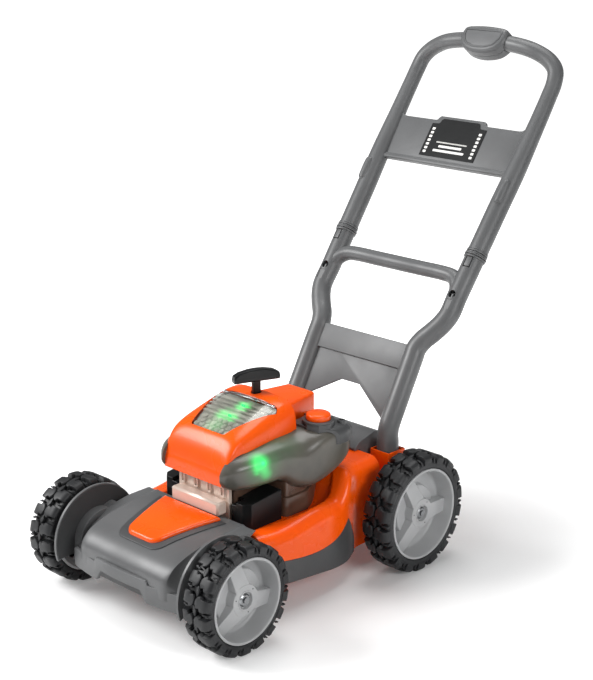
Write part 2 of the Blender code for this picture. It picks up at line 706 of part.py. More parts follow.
def make_wheel(name, side, y, outer_r, rim_r, spoke_turn):
    """One wheel body: tyre and spoked rim about an empty on the axle's line."""
    centre_x = side * (TRACK_OUTER - TYRE_WIDTH / 2.0)
    axis = empty(name + "_axis", (centre_x, y, outer_r), ROOT)
    put("tyre_" + name, tyre_mesh(outer_r, rim_r), RUBBER, axis)
    outer = TYRE_WIDTH / 2.0 - SIDE_LUG
    inner = -outer
    web = outer - RIM_WEB_DEPTH
    hub_face = outer - HUB_RECESS
    bore = AXLE_R + RUN_GAP
    profile = [(rim_r - RIM_LIP, outer), (rim_r, outer), (rim_r, inner), (rim_r - RIM_LIP, inner),
               (rim_r - RIM_LIP - RIM_TAPER, web - RIM_WEB), (HUB_BACK_R, web - RIM_WEB),
               (HUB_BACK_R, inner),
               (bore, inner), (bore, hub_face - HUB_POCKET), (HUB_POCKET_R, hub_face - HUB_POCKET),
               (HUB_POCKET_R, hub_face), (HUB_R, hub_face), (HUB_R, web + RIM_PLATEAU),
               (RIM_PLATEAU_R, web + RIM_PLATEAU), (RIM_PLATEAU_R + 0.001, web),
               (rim_r - RIM_LIP - RIM_TAPER, web)]
    rim = turned("rim_" + name, profile, RIM_SIDES, RIM_GREY, axis)
    rim.rotation_euler = (0.0, side * pi / 2.0, 0.0)
    spokes = []
    reach = rim_r - RIM_LIP * 0.6
    for index in range(3):
        bm = bmesh.new()
        bmesh.ops.create_cube(bm, size=1.0)
        for corner in bm.verts:
            far = corner.co.x > 0.0
            wide = SPOKE_TIP_WIDTH if far else SPOKE_WIDTH
            front = hub_face - 0.0005 - (SPOKE_DROP if far else 0.0)
            corner.co = (reach if far else HUB_R * 0.75, corner.co.y * wide,
                         front if corner.co.z > 0.0 else web - RIM_WEB * 0.5)
        turn = pi / 2.0 + side * radians(spoke_turn + 120.0 * index)
        bm.transform(Matrix.Rotation(turn, 4, "Z"))
        spoke = put("spoke_{}_{}".format(name, index), to_mesh(bm), None, axis)
        spoke.rotation_euler = rim.rotation_euler
        spokes.append(spoke)
    combine(rim, spokes, "UNION")
    cap_low = hub_face - HUB_POCKET + FIT_GAP
    cap = turned("axle_cap_" + name,
                 [(bore, cap_low + CAP_THICK), (CAP_R * 0.8, cap_low + CAP_THICK),
                  (CAP_R, cap_low + CAP_THICK * 0.5),
                  (CAP_R, cap_low), (bore, cap_low)], AXLE_SIDES, STEEL, ROOT)
    cap.location = (centre_x, y, outer_r)
    cap.rotation_euler = rim.rotation_euler
    return axis


def make_axle(name, y, z):
    """Steel axle from one push-on cap to the other."""
    reach = TRACK_OUTER - SIDE_LUG - HUB_RECESS + 0.001
    put(name, rod((-reach, y, z), (reach, y, z), AXLE_R, AXLE_SIDES), STEEL)


for wheel_side, wheel_hand in ((1.0, "left"), (-1.0, "right")):
    make_wheel("front_" + wheel_hand, wheel_side, 0.0, FRONT_WHEEL_R, FRONT_RIM_R, FRONT_SPOKE_TURN)
    make_wheel("rear_" + wheel_hand, wheel_side, WHEELBASE, REAR_WHEEL_R, REAR_RIM_R, REAR_SPOKE_TURN)
make_axle("front_axle", 0.0, FRONT_WHEEL_R)
make_axle("rear_axle", WHEELBASE, REAR_WHEEL_R)


# Shared surfaces

BOSS_END = TRACK_OUTER - TYRE_WIDTH + SIDE_LUG - WHEEL_PLAY


def loft(rings, closed=True, ends=(True, True)):
    """Skin over rows of points. Rows may be loops, and the first and last may be capped."""
    bm = bmesh.new()
    rows = [[bm.verts.new(point) for point in ring] for ring in rings]
    count = len(rows[0])
    for row, after in zip(rows, rows[1:]):
        for index in range(count if closed else count - 1):
            following = (index + 1) % count
            bm.faces.new((row[index], row[following], after[following], after[index]))
    if ends[0]:
        bm.faces.new(rows[0])
    if ends[1]:
        bm.faces.new(list(reversed(rows[-1])))
    bm.normal_update()
    return bm


def grown(outline, gap):
    """Outline moved outwards by a gap, whichever way round it runs."""
    turn = sum(a[0] * b[1] - b[0] * a[1] for a, b in zip(outline, outline[1:] + outline[:1]))
    outward = gap if turn > 0.0 else -gap
    moved = []
    for index, corner in enumerate(outline):
        before = (Vector(corner) - Vector(outline[index - 1])).normalized()
        after = (Vector(outline[(index + 1) % len(outline)]) - Vector(corner)).normalized()
        normal = (Vector((before.y, -before.x)) + Vector((after.y, -after.x))).normalized()
        share = max(0.5, normal.dot(Vector((after.y, -after.x))))
        moved.append(Vector(corner) + normal * outward / share)
    return moved


def deck_ring(inset, front_wall, z):
    """Deck outline at one height, drawn in at the sides and the rear."""
    half = [(x - inset, y) for y, x in DECK_PLAN]
    half[0] = (half[0][0], half[0][1] + front_wall)
    half += [(DECK_REAR_HALF - inset, DECK_NECK_Y), (DECK_REAR_HALF - inset, DECK_REAR_Y - inset)]
    return [(x, y, z) for x, y in mirrored(half)]


def deck_dome(side_wall, front_wall, roof, low, steps):
    """Closed form of the deck's main dome, drawn in by its wall and roof thicknesses."""
    bulge = DECK_BULGE
    top = DECK_TOP_Z - roof
    rings = [deck_ring(side_wall, front_wall, low)]
    for step in range(steps + 1):
        turn = pi / 2.0 * step / steps
        inset = side_wall + bulge * (1.0 - cos(turn))
        rings.append(deck_ring(inset, front_wall, top - bulge * (1.0 - sin(turn))))
    return to_mesh(loft(rings))


def base_plan(margin):
    """Plan of the engine's lower casing, grown by a margin."""
    half = [(BASE_NOSE_HALF, BASE_FRONT_Y, 0.004), (BASE_NOSE_HALF, BASE_STEP_Y, 0.0),
            (BASE_HALF, BASE_STEP_Y + BASE_STEP_SWEEP, 0.004), (BASE_HALF, BASE_TAPER_Y, 0.015),
            (BASE_REAR_HALF, BASE_REAR_Y, 0.012)]
    return grown(rounded(mirrored(half), steps=2), margin)


def socket_ring(x, margin):
    """Plan of one handle socket, a square with softened corners round the leg's foot."""
    half = FOOT_R + FIT_GAP + margin
    corners = [(x - half, LEG_FOOT_Y - half), (x + half, LEG_FOOT_Y - half),
               (x + half, LEG_FOOT_Y + half), (x - half, LEG_FOOT_Y + half)]
    return rounded([(a, b, 0.002 + margin) for a, b in corners], steps=1)


def skirt_form(side, grow):
    """Side skirt bent to the deck's plan; grown by a gap it cuts the skirt's pocket."""
    outline = [Vector(corner) for corner in SKIRT_EDGE + SKIRT_LOW]
    if grow:
        outline = grown(outline, grow)
    bm = bmesh.new()
    bm.from_mesh(slab(outline, -SKIRT_THICK - grow, 0.004 if grow else 0.0, SIDE))
    for y, _ in DECK_PLAN[1:-1]:
        geometry = list(bm.verts) + list(bm.edges) + list(bm.faces)
        bmesh.ops.bisect_plane(bm, geom=geometry, plane_co=(0.0, y, 0.0), plane_no=(0.0, 1.0, 0.0))
    for corner in bm.verts:
        corner.co.x = side * (corner.co.x + between(DECK_PLAN, corner.co.y))
    return to_mesh(bm)


def make_deck():
    """Deck moulding: domed shell with a well round the engine, rear block, sockets and axle bosses."""
    deck = put("deck_shell", deck_dome(0.0, 0.0, 0.0, DECK_BASE_Z, 4), ORANGE_GLOSS)
    well_floor = DECK_TOP_Z - WELL_DEPTH
    well = [(WELL_FRONT_HALF, WELL_FRONT_Y)]
    for step in range(8):
        turn = radians(-30.0 + 16.0 * step)
        well.append((WELL_R * cos(turn), WELL_Y + WELL_R * sin(turn)))
    well = mirrored(well)
    combine(deck, [put("well_cut", slab(well, well_floor, DECK_TOP_Z + 0.010))])
    block = rounded([(REAR_BLOCK_HALF, REAR_BLOCK_FRONT_Y, 0.012),
                     (REAR_BLOCK_HALF, REAR_BLOCK_REAR_Y, 0.004),
                     (-REAR_BLOCK_HALF, REAR_BLOCK_REAR_Y, 0.004),
                     (-REAR_BLOCK_HALF, REAR_BLOCK_FRONT_Y, 0.012)])
    raised = [put("pedestal", slab(base_plan(PEDESTAL_MARGIN), well_floor - DECK_ROOF / 2.0, PEDESTAL_Z)),
              put("rear_block", slab(block, well_floor - DECK_ROOF / 2.0, REAR_BLOCK_Z,
                                     bevel=REAR_BLOCK_ROUND, segments=2)),
              put("tongue", slab(TONGUE_PROFILE, -TONGUE_HALF, TONGUE_HALF, SIDE))]
    raised.append(put("rear_ramp", slab(REAR_RAMP, -REAR_RAMP_HALF, REAR_RAMP_HALF, SIDE)))
    for side in (1.0, -1.0):
        raised.append(put("socket_block", slab(socket_ring(side * LEG_HALF, SOCKET_WALL),
                                               SOCKET_LOW_Z, SOCKET_TOP_Z)))
        raised.append(put("axle_boss", rod((side * (DECK_REAR_HALF - DECK_SIDE_WALL), WHEELBASE,
                                            REAR_WHEEL_R),
                                           (side * BOSS_END, WHEELBASE, REAR_WHEEL_R), AXLE_BOSS_R, 12)))
    combine(deck, raised, "UNION")
    combine(deck, [put("base_seat", slab(base_plan(PEDESTAL_MARGIN), PEDESTAL_Z, REAR_BLOCK_Z))])

    hollow = put("deck_hollow", deck_dome(DECK_SIDE_WALL, DECK_ROOF, DECK_ROOF, HOLLOW_LOW_Z, 2))
    under_well = slab(grown(well, DECK_ROOF), well_floor - DECK_ROOF, DECK_TOP_Z + 0.020)
    combine(hollow, [put("under_well", under_well)])
    raise_roof = [put("pedestal_hollow", slab(base_plan(PEDESTAL_MARGIN - DECK_ROOF), HOLLOW_LOW_Z + 0.002,
                                              PEDESTAL_Z - DECK_ROOF)),
                  put("block_hollow", slab(grown(block, -DECK_ROOF), HOLLOW_LOW_Z + 0.004,
                                           REAR_BLOCK_Z - DECK_ROOF))]
    (nose, nose_z), (brow, brow_z), (back, back_z) = TONGUE_PROFILE[1:4]
    tongue_in = [(nose + TONGUE_WALL, HOLLOW_LOW_Z - 0.002),
                 (nose + TONGUE_WALL, nose_z - TONGUE_WALL / 2.0),
                 (brow, brow_z - TONGUE_WALL), (back + TONGUE_REACH, back_z - TONGUE_WALL),
                 (back + TONGUE_REACH, HOLLOW_LOW_Z - 0.002)]
    raise_roof.append(put("tongue_hollow", slab(tongue_in, -TONGUE_HALF + TONGUE_WALL,
                                                TONGUE_HALF - TONGUE_WALL,
                                                SIDE)))
    combine(hollow, raise_roof, "UNION")
    keep = []
    for side in (1.0, -1.0):
        keep.append(put("socket_keep", slab(socket_ring(side * LEG_HALF, SOCKET_WALL + 0.0005),
                                            FOOT_LOW_Z - SOCKET_WALL, SOCKET_TOP_Z + 0.001)))
    combine(hollow, keep)
    combine(deck, [hollow])

    cuts = []
    for side in (1.0, -1.0):
        cuts.append(put("skirt_pocket", skirt_form(side, FIT_GAP)))
        cuts.append(put("socket_bore", slab(socket_ring(side * LEG_HALF, 0.0), FOOT_LOW_Z - FIT_GAP,
                                            SOCKET_TOP_Z + 0.002)))
    for y, z in ((0.0, FRONT_WHEEL_R), (WHEELBASE, REAR_WHEEL_R)):
        cuts.append(put("axle_hole", rod((-TRACK_OUTER, y, z), (TRACK_OUTER, y, z), AXLE_R + FIT_GAP,
                                         AXLE_SIDES)))
    combine(deck, cuts)
    for side, hand in ((1.0, "left"), (-1.0, "right")):
        put("side_skirt_" + hand, skirt_form(side, 0.0), DARK_SATIN)


TONGUE_HALF = COVER_HALF - COVER_WALL - FIT_GAP
make_deck()


# Front cover, bumper and badge

def cover_row(index):
    """One row of the cover's skin, from the right side wall over the top to the left."""
    (centre_y, centre_z), (side_y, side_z) = COVER_CENTRE[index], COVER_SIDE[index]
    crease = (COVER_CREASE - COVER_FLAT) / (COVER_HALF - COVER_FLAT)
    shoulder = (COVER_SHOULDER - COVER_FLAT) / (COVER_HALF - COVER_FLAT)
    half = [(COVER_HALF, side_y, COVER_SKIRT_Z), (COVER_HALF, side_y, side_z)]
    for half_width, share, rise in ((COVER_SHOULDER, shoulder, COVER_RIDGE),
                                    (COVER_CREASE, crease, COVER_RIDGE),
                                    (COVER_FLAT, 0.0, 0.0)):
        half.append((half_width, centre_y + (side_y - centre_y) * share,
                     centre_z + (side_z - centre_z) * share + rise))
    return list(mirrored(half))


def disc(centre_x, thick, radius, sides=36, low_z=FENDER_LOW_Z):
    """Disc about the front axle with its foot cut level, from centre_x outwards."""
    outline = []
    for step in range(sides):
        turn = 2.0 * pi * (step + 0.5) / sides
        outline.append((radius * cos(turn), max(low_z, FRONT_WHEEL_R + radius * sin(turn))))
    trimmed = [corner for index, corner in enumerate(outline)
               if not (corner[1] == low_z and outline[index - 1][1] == low_z
                       and outline[(index + 1) % sides][1] == low_z)]
    return slab(trimmed, min(centre_x, centre_x + thick), max(centre_x, centre_x + thick), SIDE)


def draped(outline, low, high):
    """Flat plan outline laid on the cover's centre line between two heights above it."""
    bm = bmesh.new()
    bm.from_mesh(slab(outline, low, high))
    for y, _ in COVER_CENTRE[1:-1]:
        geometry = list(bm.verts) + list(bm.edges) + list(bm.faces)
        bmesh.ops.bisect_plane(bm, geom=geometry, plane_co=(0.0, y, 0.0), plane_no=(0.0, 1.0, 0.0))
    for corner in bm.verts:
        corner.co.z += between(COVER_CENTRE, corner.co.y)
    return to_mesh(bm)


def badge_outline(margin):
    """Shield of the badge in plan, grown by a margin."""
    front = BADGE_FRONT_Y - margin
    half = [(BADGE_FRONT_HALF + margin, front, 0.012), (BADGE_REAR_HALF + margin, BADGE_REAR_Y, 0.0)]
    return rounded(mirrored(half), steps=4)


def make_cover():
    """Grey nose cover with its two wheel fenders, the strip below it and the badge on top."""
    rows = [cover_row(index) for index in range(len(COVER_CENTRE))]
    cover = put("front_cover", to_mesh(loft(rows, closed=False, ends=(False, False))), GREY_SATIN)
    wall = cover.modifiers.new("wall", "SOLIDIFY")
    wall.thickness = COVER_WALL
    wall.offset = -1.0
    wall.use_even_offset = True
    fenders = []
    holes = [put("cover_axle_hole", rod((-TRACK_OUTER, 0.0, FRONT_WHEEL_R),
                                        (TRACK_OUTER, 0.0, FRONT_WHEEL_R),
                                        AXLE_R + FIT_GAP, AXLE_SIDES))]
    for side in (1.0, -1.0):
        inside = side * (COVER_HALF - COVER_WALL / 2.0)
        fenders.append(put("fender_core", disc(inside, side * (FENDER_X + FENDER_THICK / 2.0) - inside,
                                               FENDER_CORE_R, 24, FENDER_LOW_Z + 0.004)))
        fenders.append(put("fender_disc", disc(side * FENDER_X, side * FENDER_THICK, FENDER_R)))
        fenders.append(put("fender_boss", rod((side * (FENDER_X + FENDER_THICK / 2.0), 0.0, FRONT_WHEEL_R),
                                              (side * BOSS_END, 0.0, FRONT_WHEEL_R), AXLE_BOSS_R, 12)))
    combine(cover, fenders, "UNION")
    combine(cover, holes)

    half = [(BUMPER_NOTCH_HALF, BUMPER_NOTCH_Z), (BUMPER_PAD_HALF, BUMPER_PAD_Z),
            (BUMPER_HALF, BUMPER_PAD_Z),
            (BUMPER_HALF, BUMPER_STEP_Z), (BUMPER_PAD_HALF + 0.003, BUMPER_STEP_Z),
            (BUMPER_PAD_HALF + 0.001, BUMPER_TOP_Z)]
    bm = bmesh.new()
    bm.from_mesh(slab(mirrored(half), -BUMPER_CENTRE_Y, -BUMPER_CENTRE_Y + BUMPER_THICK, FRONT))
    for x in BUMPER_FOLDS:
        geometry = list(bm.verts) + list(bm.edges) + list(bm.faces)
        bmesh.ops.bisect_plane(bm, geom=geometry, plane_co=(x, 0.0, 0.0), plane_no=(1.0, 0.0, 0.0))
    for corner in bm.verts:
        corner.co.y += BUMPER_BOW * (corner.co.x / BUMPER_HALF) ** 2
    bumper = put("front_bumper", to_mesh(bm), GREY_SATIN)
    behind = TONGUE_PROFILE[0][0] - FIT_GAP
    ribs = []
    for side in (1.0, -1.0):
        near, far = sorted((side * (BUMPER_RIB_X - 0.003), side * (BUMPER_RIB_X + 0.003)))
        ribs.append(put("bumper_rib", box((near, BUMPER_CENTRE_Y + 0.0005, BUMPER_PAD_Z + 0.002),
                                          (far, behind, BUMPER_FOOT_Z + 0.002))))
        near, far = sorted((side * (BUMPER_HALF - 0.004), side * BUMPER_LEDGE_HALF))
        ribs.append(put("bumper_ledge", box((near, BUMPER_CENTRE_Y + BUMPER_BOW - 0.0045,
                                             BUMPER_FOOT_Z - 0.004),
                                            (far, BUMPER_CENTRE_Y + BUMPER_BOW + 0.0005, BUMPER_FOOT_Z))))
    combine(bumper, ribs, "UNION")

    tray_outline = badge_outline(BADGE_BORDER)
    put("badge_tray", draped(tray_outline, FIT_GAP, FIT_GAP + BADGE_TRAY_THICK), DARK_SATIN)
    put("badge_insert", draped(badge_outline(0.0), 2.0 * FIT_GAP + BADGE_TRAY_THICK,
                               FIT_GAP * 2.0 + BADGE_TRAY_THICK + BADGE_THICK), ORANGE_GLOSS)


make_cover()


# Engine housings

def arch_height(half, round_, x):
    """Share of an arch's rise at x across it."""
    return (1.0 - min(1.0, abs(x) / half) ** round_) ** (1.0 / round_)


def hood_form(grow, drop):
    """Closed form of the hood grown by a gap or drawn in by a wall, its feet let down by a drop."""
    last = len(HOOD_ARCHES) - 1
    rings = []
    for index, (half, foot_y, foot_z, crown_y, crown_z) in enumerate(HOOD_ARCHES):
        before, after = HOOD_ARCHES[max(0, index - 1)], HOOD_ARCHES[min(last, index + 1)]
        along = Vector((after[3] - before[3], after[4] - before[4])).normalized()
        shift = Vector((-along.y, along.x)) * grow
        cap = Vector((grow, 0.0)) if index == last else Vector((0.0, 0.0))
        if index == 0 and grow > 0.0:
            cap = -along * grow
        ring = []
        for step in range(HOOD_ACROSS + 1):
            turn = pi * step / HOOD_ACROSS
            across = copysign(abs(cos(turn)) ** (2.0 / HOOD_ROUND),
                              cos(turn)) if step * 2 != HOOD_ACROSS else 0.0
            rise = max(0.0, sin(turn)) ** (2.0 / HOOD_ROUND) if step % HOOD_ACROSS else 0.0
            move = cap + (shift * (2.0 * rise - 1.0) if grow > 0.0 else shift)
            ring.append((across * (half + grow), foot_y + (crown_y - foot_y) * rise + move.x,
                         foot_z + (crown_z - foot_z) * rise + move.y - drop * (1.0 - rise)))
        rings.append(ring)
    return to_mesh(loft(rings))


def tail_outline(margin):
    """Plan of the block behind the hood, grown by a margin."""
    half = [(TAIL_FRONT_HALF, TAIL_FRONT_Y, 0.0), (TAIL_REAR_HALF, TAIL_REAR_Y, 0.004)]
    return grown(rounded(mirrored(half), steps=2), margin)


def window_outline(margin):
    """Plan of the hood's window, drawn in by a margin."""
    half = [(WINDOW_FRONT_HALF, WINDOW_FRONT_Y, 0.004), (WINDOW_WIDE_HALF, WINDOW_SHOULDER_Y, 0.002),
            (WINDOW_REAR_HALF, WINDOW_REAR_Y, 0.0015)]
    return grown(rounded(mirrored(half), steps=2), -margin)


def shroud_form(grow):
    """Closed form of the smoky engine shroud, grown by a gap or drawn in by a wall."""
    last = len(SHROUD_STATIONS) - 1
    rings = []
    for index, (y, half, top_z, low_z) in enumerate(SHROUD_STATIONS):
        y += grow * ((index == last) - (index == 0))
        ring = []
        for step in range(SHROUD_SIDES):
            turn = 2.0 * pi * (step + 0.5) / SHROUD_SIDES
            power = 2.0 / (SHROUD_TOP_ROUND if sin(turn) > 0.0 else SHROUD_LOW_ROUND)
            across = copysign(abs(cos(turn)) ** power, cos(turn))
            rise = copysign(abs(sin(turn)) ** power, sin(turn))
            ring.append((across * (half + grow),
                         y, (top_z + low_z) / 2.0 + rise * ((top_z - low_z) / 2.0 + grow)))
        rings.append(ring)
    return to_mesh(loft(rings))


def make_hood():
    """Orange hood with its tail block, the smoky window in it and the silver bar behind the window."""
    over = HOOD_ARCHES[-1][4] + 0.020
    hood = put("hood", hood_form(0.0, HOOD_DROP), ORANGE_GLOSS)
    tail = put("tail_block", slab(tail_outline(0.0), TAIL_LOW_Z, TAIL_TOP_Z, bevel=TAIL_ROUND, segments=1))
    combine(hood, [tail], "UNION")
    inside = put("hood_inside", hood_form(-HOOD_WALL, 0.012))
    tail_inside = put("tail_inside", slab(tail_outline(-HOOD_WALL), TAIL_LOW_Z - 0.010,
                                          TAIL_TOP_Z - HOOD_WALL))
    opening = put("window_opening", slab(window_outline(0.0), WINDOW_LOW_Z, over))
    pull_hole = put("pull_hole", rod((0.0, STARTER_Y, WINDOW_LOW_Z), (0.0, STARTER_Y, over), STARTER_HOLE_R,
                                     16))
    combine(hood, [inside, tail_inside, opening, pull_hole])

    window = put("hood_window", slab(window_outline(FIT_GAP), WINDOW_LOW_Z, over), SMOKE)
    combine(window, [put("window_top", hood_form(-WINDOW_INSET, 0.012))], "INTERSECT")
    combine(window, [put("window_under", hood_form(-WINDOW_INSET - WINDOW_THICK, 0.014))])

    (half, _, foot_z, start_y, start_z), (_, _, _, end_y, end_z) = HOOD_ARCHES[-3], HOOD_ARCHES[-2]
    crown_z = start_z + (end_z - start_z) * (TRIM_Y + TRIM_DEEP - start_y) / (end_y - start_y)
    lower, upper = [], []
    for x in (-TRIM_HALF, -TRIM_HALF * 0.6, 0.0, TRIM_HALF * 0.6, TRIM_HALF):
        z = foot_z + (crown_z - foot_z) * arch_height(half, HOOD_ROUND, x) - WINDOW_INSET + FIT_GAP
        lower.append((x, z))
        upper.append((x, z + TRIM_TALL))
    trim = put("window_trim", slab(lower + list(reversed(upper)), -TRIM_Y - TRIM_DEEP, -TRIM_Y, FRONT),
               SILVER)
    nubs = []
    for x, z in (lower[0], lower[-1]):
        inner = x - copysign(TRIM_NUB, x)
        nubs.append(put("trim_nub", box((min(x, inner), TRIM_Y - 0.0004, z + 0.0003),
                                        (max(x, inner), TRIM_Y + TRIM_DEEP + 0.0004, z + TRIM_TALL * 1.8))))
    combine(trim, nubs, "UNION")


def make_shroud():
    """Smoky shroud that wraps the engine below the hood, and the casing it stands on."""
    shroud = put("engine_shroud", shroud_form(0.0), SMOKE)
    first, last = SHROUD_STATIONS[0], SHROUD_STATIONS[-1]
    low = min(station[3] for station in SHROUD_STATIONS) - 0.010
    under = HOOD_ARCHES[0][2] - HOOD_DROP + 0.003
    cuts = [put("hood_seat", hood_form(FIT_GAP, HOOD_DROP)),
            put("shroud_inside", shroud_form(-SHROUD_WALL)),
            put("tail_seat", slab(tail_outline(FIT_GAP), TAIL_LOW_Z - 0.012, TAIL_TOP_Z)),
            put("shroud_mouth", box((-SHROUD_MOUTH_HALF, SHROUD_MOUTH_FRONT_Y, low),
                                    (SHROUD_MOUTH_HALF, SHROUD_MOUTH_REAR_Y, under + 0.006))),
            put("nose_notch", box((-NOSE_NOTCH_HALF, first[0] - 0.010, low),
                                  (NOSE_NOTCH_HALF, SHROUD_MOUTH_FRONT_Y - 0.006, SHROUD_STATIONS[3][2]))),
            put("stem_hole", rod((TANK_X, TANK_Y, TANK_LOW_Z - 0.004), (TANK_X, TANK_Y, NECK_TOP_Z),
                                 CAP_STEM_R + 2.0 * SLIDE_GAP, 16))]
    combine(shroud, cuts)

    inside = max((station[2] + station[3]) / 2.0 for station in SHROUD_STATIONS)
    base = put("engine_base", slab(base_plan(0.0), PEDESTAL_Z + FIT_GAP, inside), SMOKE)
    combine(base, [put("base_inside", slab(base_plan(-BASE_WALL), PEDESTAL_Z - 0.004, inside + 0.004)),
                   put("shroud_seat", shroud_form(FIT_GAP))])


make_hood()
make_shroud()


def make_muffler():
    """Two-piece dummy exhaust: a bevelled box on the cover's edge and the plate with hooks behind it."""
    put("muffler_box", box((-MUFFLER_HALF, MUFFLER_FRONT_Y, MUFFLER_LOW_Z),
                           (MUFFLER_HALF, MUFFLER_FRONT_Y + MUFFLER_DEEP, MUFFLER_TOP_Z), MUFFLER_BEVEL, 1),
        CHAMPAGNE)
    front = MUFFLER_FRONT_Y + MUFFLER_DEEP + FIT_GAP
    floor = DECK_TOP_Z - WELL_DEPTH + FIT_GAP
    plate = put("muffler_plate", box((-MUFFLER_PLATE_HALF, front, floor),
                                     (MUFFLER_PLATE_HALF, front + MUFFLER_PLATE_THICK, MUFFLER_PLATE_TOP_Z)),
                CHAMPAGNE)
    hooks = []
    for share in (-0.78, -0.26, 0.26, 0.78):
        x = share * MUFFLER_PLATE_HALF
        hooks.append(put("plate_hook", box((x - MUFFLER_HOOK, front - MUFFLER_HOOK_DEEP,
                                            MUFFLER_TOP_Z + 0.002),
                                           (x + MUFFLER_HOOK, front + 0.001, MUFFLER_PLATE_TOP_Z - 0.003))))
        hooks.append(put("plate_hook_eye", box((x - MUFFLER_HOOK / 2.0, front - MUFFLER_HOOK_DEEP - 0.001,
                                                MUFFLER_TOP_Z + 0.004),
                                               (x + MUFFLER_HOOK / 2.0, front - 0.0008,
                                                MUFFLER_PLATE_TOP_Z - 0.008))))
    combine(plate, hooks[0::2], "UNION")
    combine(plate, hooks[1::2])
    for side, hand in ((1.0, "left"), (-1.0, "right")):
        outline = [(AIR_BOX_IN, AIR_BOX_FRONT_Y), (AIR_BOX_OUT - AIR_BOX_CHAMFER, AIR_BOX_FRONT_Y),
                   (AIR_BOX_OUT, AIR_BOX_FRONT_Y + AIR_BOX_CHAMFER), (AIR_BOX_OUT, AIR_BOX_REAR_Y),
                   (AIR_BOX_IN, AIR_BOX_REAR_Y)]
        shape = [(side * x, y) for x, y in outline]
        floor = DECK_TOP_Z - WELL_DEPTH + FIT_GAP
        air_box = put("air_box_" + hand, slab(shape, floor, AIR_BOX_TOP_Z + AIR_BOX_RISE), BLACK_SATIN)
        slope = [(AIR_BOX_FRONT_Y - 0.002, AIR_BOX_TOP_Z + AIR_BOX_RISE + 0.002),
                 (AIR_BOX_FRONT_Y - 0.002, AIR_BOX_TOP_Z), (AIR_BOX_REAR_Y + 0.002,
                                                            AIR_BOX_TOP_Z + AIR_BOX_RISE),
                 (AIR_BOX_REAR_Y + 0.002, AIR_BOX_TOP_Z + AIR_BOX_RISE + 0.002)]
        near, far = sorted((side * (AIR_BOX_IN - 0.002), side * (AIR_BOX_OUT + 0.002)))
        notch_in, notch_out = sorted((side * (AIR_BOX_IN - 0.002), side * AIR_BOX_STEP))
        edge = [(side * (AIR_BOX_OUT - 0.004), AIR_BOX_TOP_Z + 0.012),
                (side * (AIR_BOX_OUT + 0.004), AIR_BOX_TOP_Z - 0.004),
                (side * (AIR_BOX_OUT + 0.004), AIR_BOX_TOP_Z + 0.012)]
        combine(air_box, [put("box_slope", slab(slope, near, far, SIDE)),
                          put("box_notch", box((notch_in, AIR_BOX_FRONT_Y - 0.002, AIR_BOX_TOP_Z - 0.003),
                                               (notch_out, AIR_BOX_FRONT_Y + 0.012, AIR_BOX_TOP_Z + 0.010))),
                          put("box_edge", slab(edge, -AIR_BOX_REAR_Y - 0.002, -AIR_BOX_FRONT_Y + 0.002,
                                               FRONT))])


def make_tank():
    """Tank top laid on the shroud with a faceted neck, and the fuel cap button pressed into it."""
    over = NECK_TOP_Z + 0.010
    tank = put("tank_top", slab(TANK_OUTLINE, TANK_LOW_Z, over), DARK_SATIN)
    combine(tank, [put("tank_skin", shroud_form(FIT_GAP + TANK_SKIN))], "INTERSECT")
    neck = put("tank_neck", rod((TANK_X, TANK_Y, TANK_LOW_Z + 0.004), (TANK_X, TANK_Y, NECK_TOP_Z),
                                NECK_FOOT_R,
                                NECK_SIDES, NECK_R))
    combine(tank, [neck], "UNION")
    stem_low = NECK_TOP_Z - CAP_STEM_LOW
    bores = [put("tank_under", shroud_form(FIT_GAP)),
             put("neck_pocket", rod((TANK_X, TANK_Y, NECK_TOP_Z - NECK_POCKET), (TANK_X, TANK_Y, over),
                                    CAP_BUTTON_R + SLIDE_GAP, 24)),
             put("neck_bore", rod((TANK_X, TANK_Y, stem_low - 0.010), (TANK_X, TANK_Y, over),
                                  CAP_STEM_R + RUN_GAP, 16))]
    combine(tank, bores)
    rest = NECK_TOP_Z - NECK_POCKET + CAP_TRAVEL + FIT_GAP
    press = empty("fuel_cap_axis", (TANK_X, TANK_Y, rest), ROOT)
    top = CAP_BUTTON_THICK
    turned("fuel_cap", [(0.0, top), (CAP_BUTTON_R - 2.5 * CAP_EDGE, top),
                        (CAP_BUTTON_R - 0.5 * CAP_EDGE, top - CAP_EDGE),
                        (CAP_BUTTON_R, top - 2.2 * CAP_EDGE), (CAP_BUTTON_R, 0.0), (CAP_STEM_R, 0.0),
                        (CAP_STEM_R, stem_low - rest), (0.0, stem_low - rest)], 20, ORANGE_GLOSS, press)


def make_rear_door():
    """Grey rear door between the handle's feet: a folded shell with closed cheeks."""
    block, rear = REAR_BLOCK_REAR_Y + FIT_GAP, DECK_REAR_Y + FIT_GAP
    cheek = DOOR_TOP + [(rear, DOOR_TOP[-1][1]), (rear, DECK_TOP_Z + FIT_GAP), (block, DECK_TOP_Z + FIT_GAP),
                        (block, REAR_BLOCK_Z + FIT_GAP)]
    door = put("rear_door", slab(cheek, -DOOR_HALF, DOOR_HALF, SIDE), GREY_SATIN)
    inner = [(DOOR_TOP[1][0] + DOOR_WALL, REAR_BLOCK_Z - 0.001)]
    shell = grown([Vector(corner) for corner in DOOR_TOP[1:6]], -DOOR_WALL)
    inner += [(DOOR_TOP[1][0] + DOOR_WALL, shell[0].y), *shell[1:4], (rear - 0.0004, shell[4].y),
              (rear - 0.0004, DOOR_TOP[-1][1] - 0.002), (block - 0.004, DOOR_TOP[-1][1] - 0.002),
              (block - 0.004, REAR_BLOCK_Z - 0.001)]
    combine(door, [put("door_inside", slab(inner, -DOOR_HALF + DOOR_WALL, DOOR_HALF - DOOR_WALL, SIDE))])


make_muffler()
make_tank()
make_rear_door()


# Pull starter and inner works

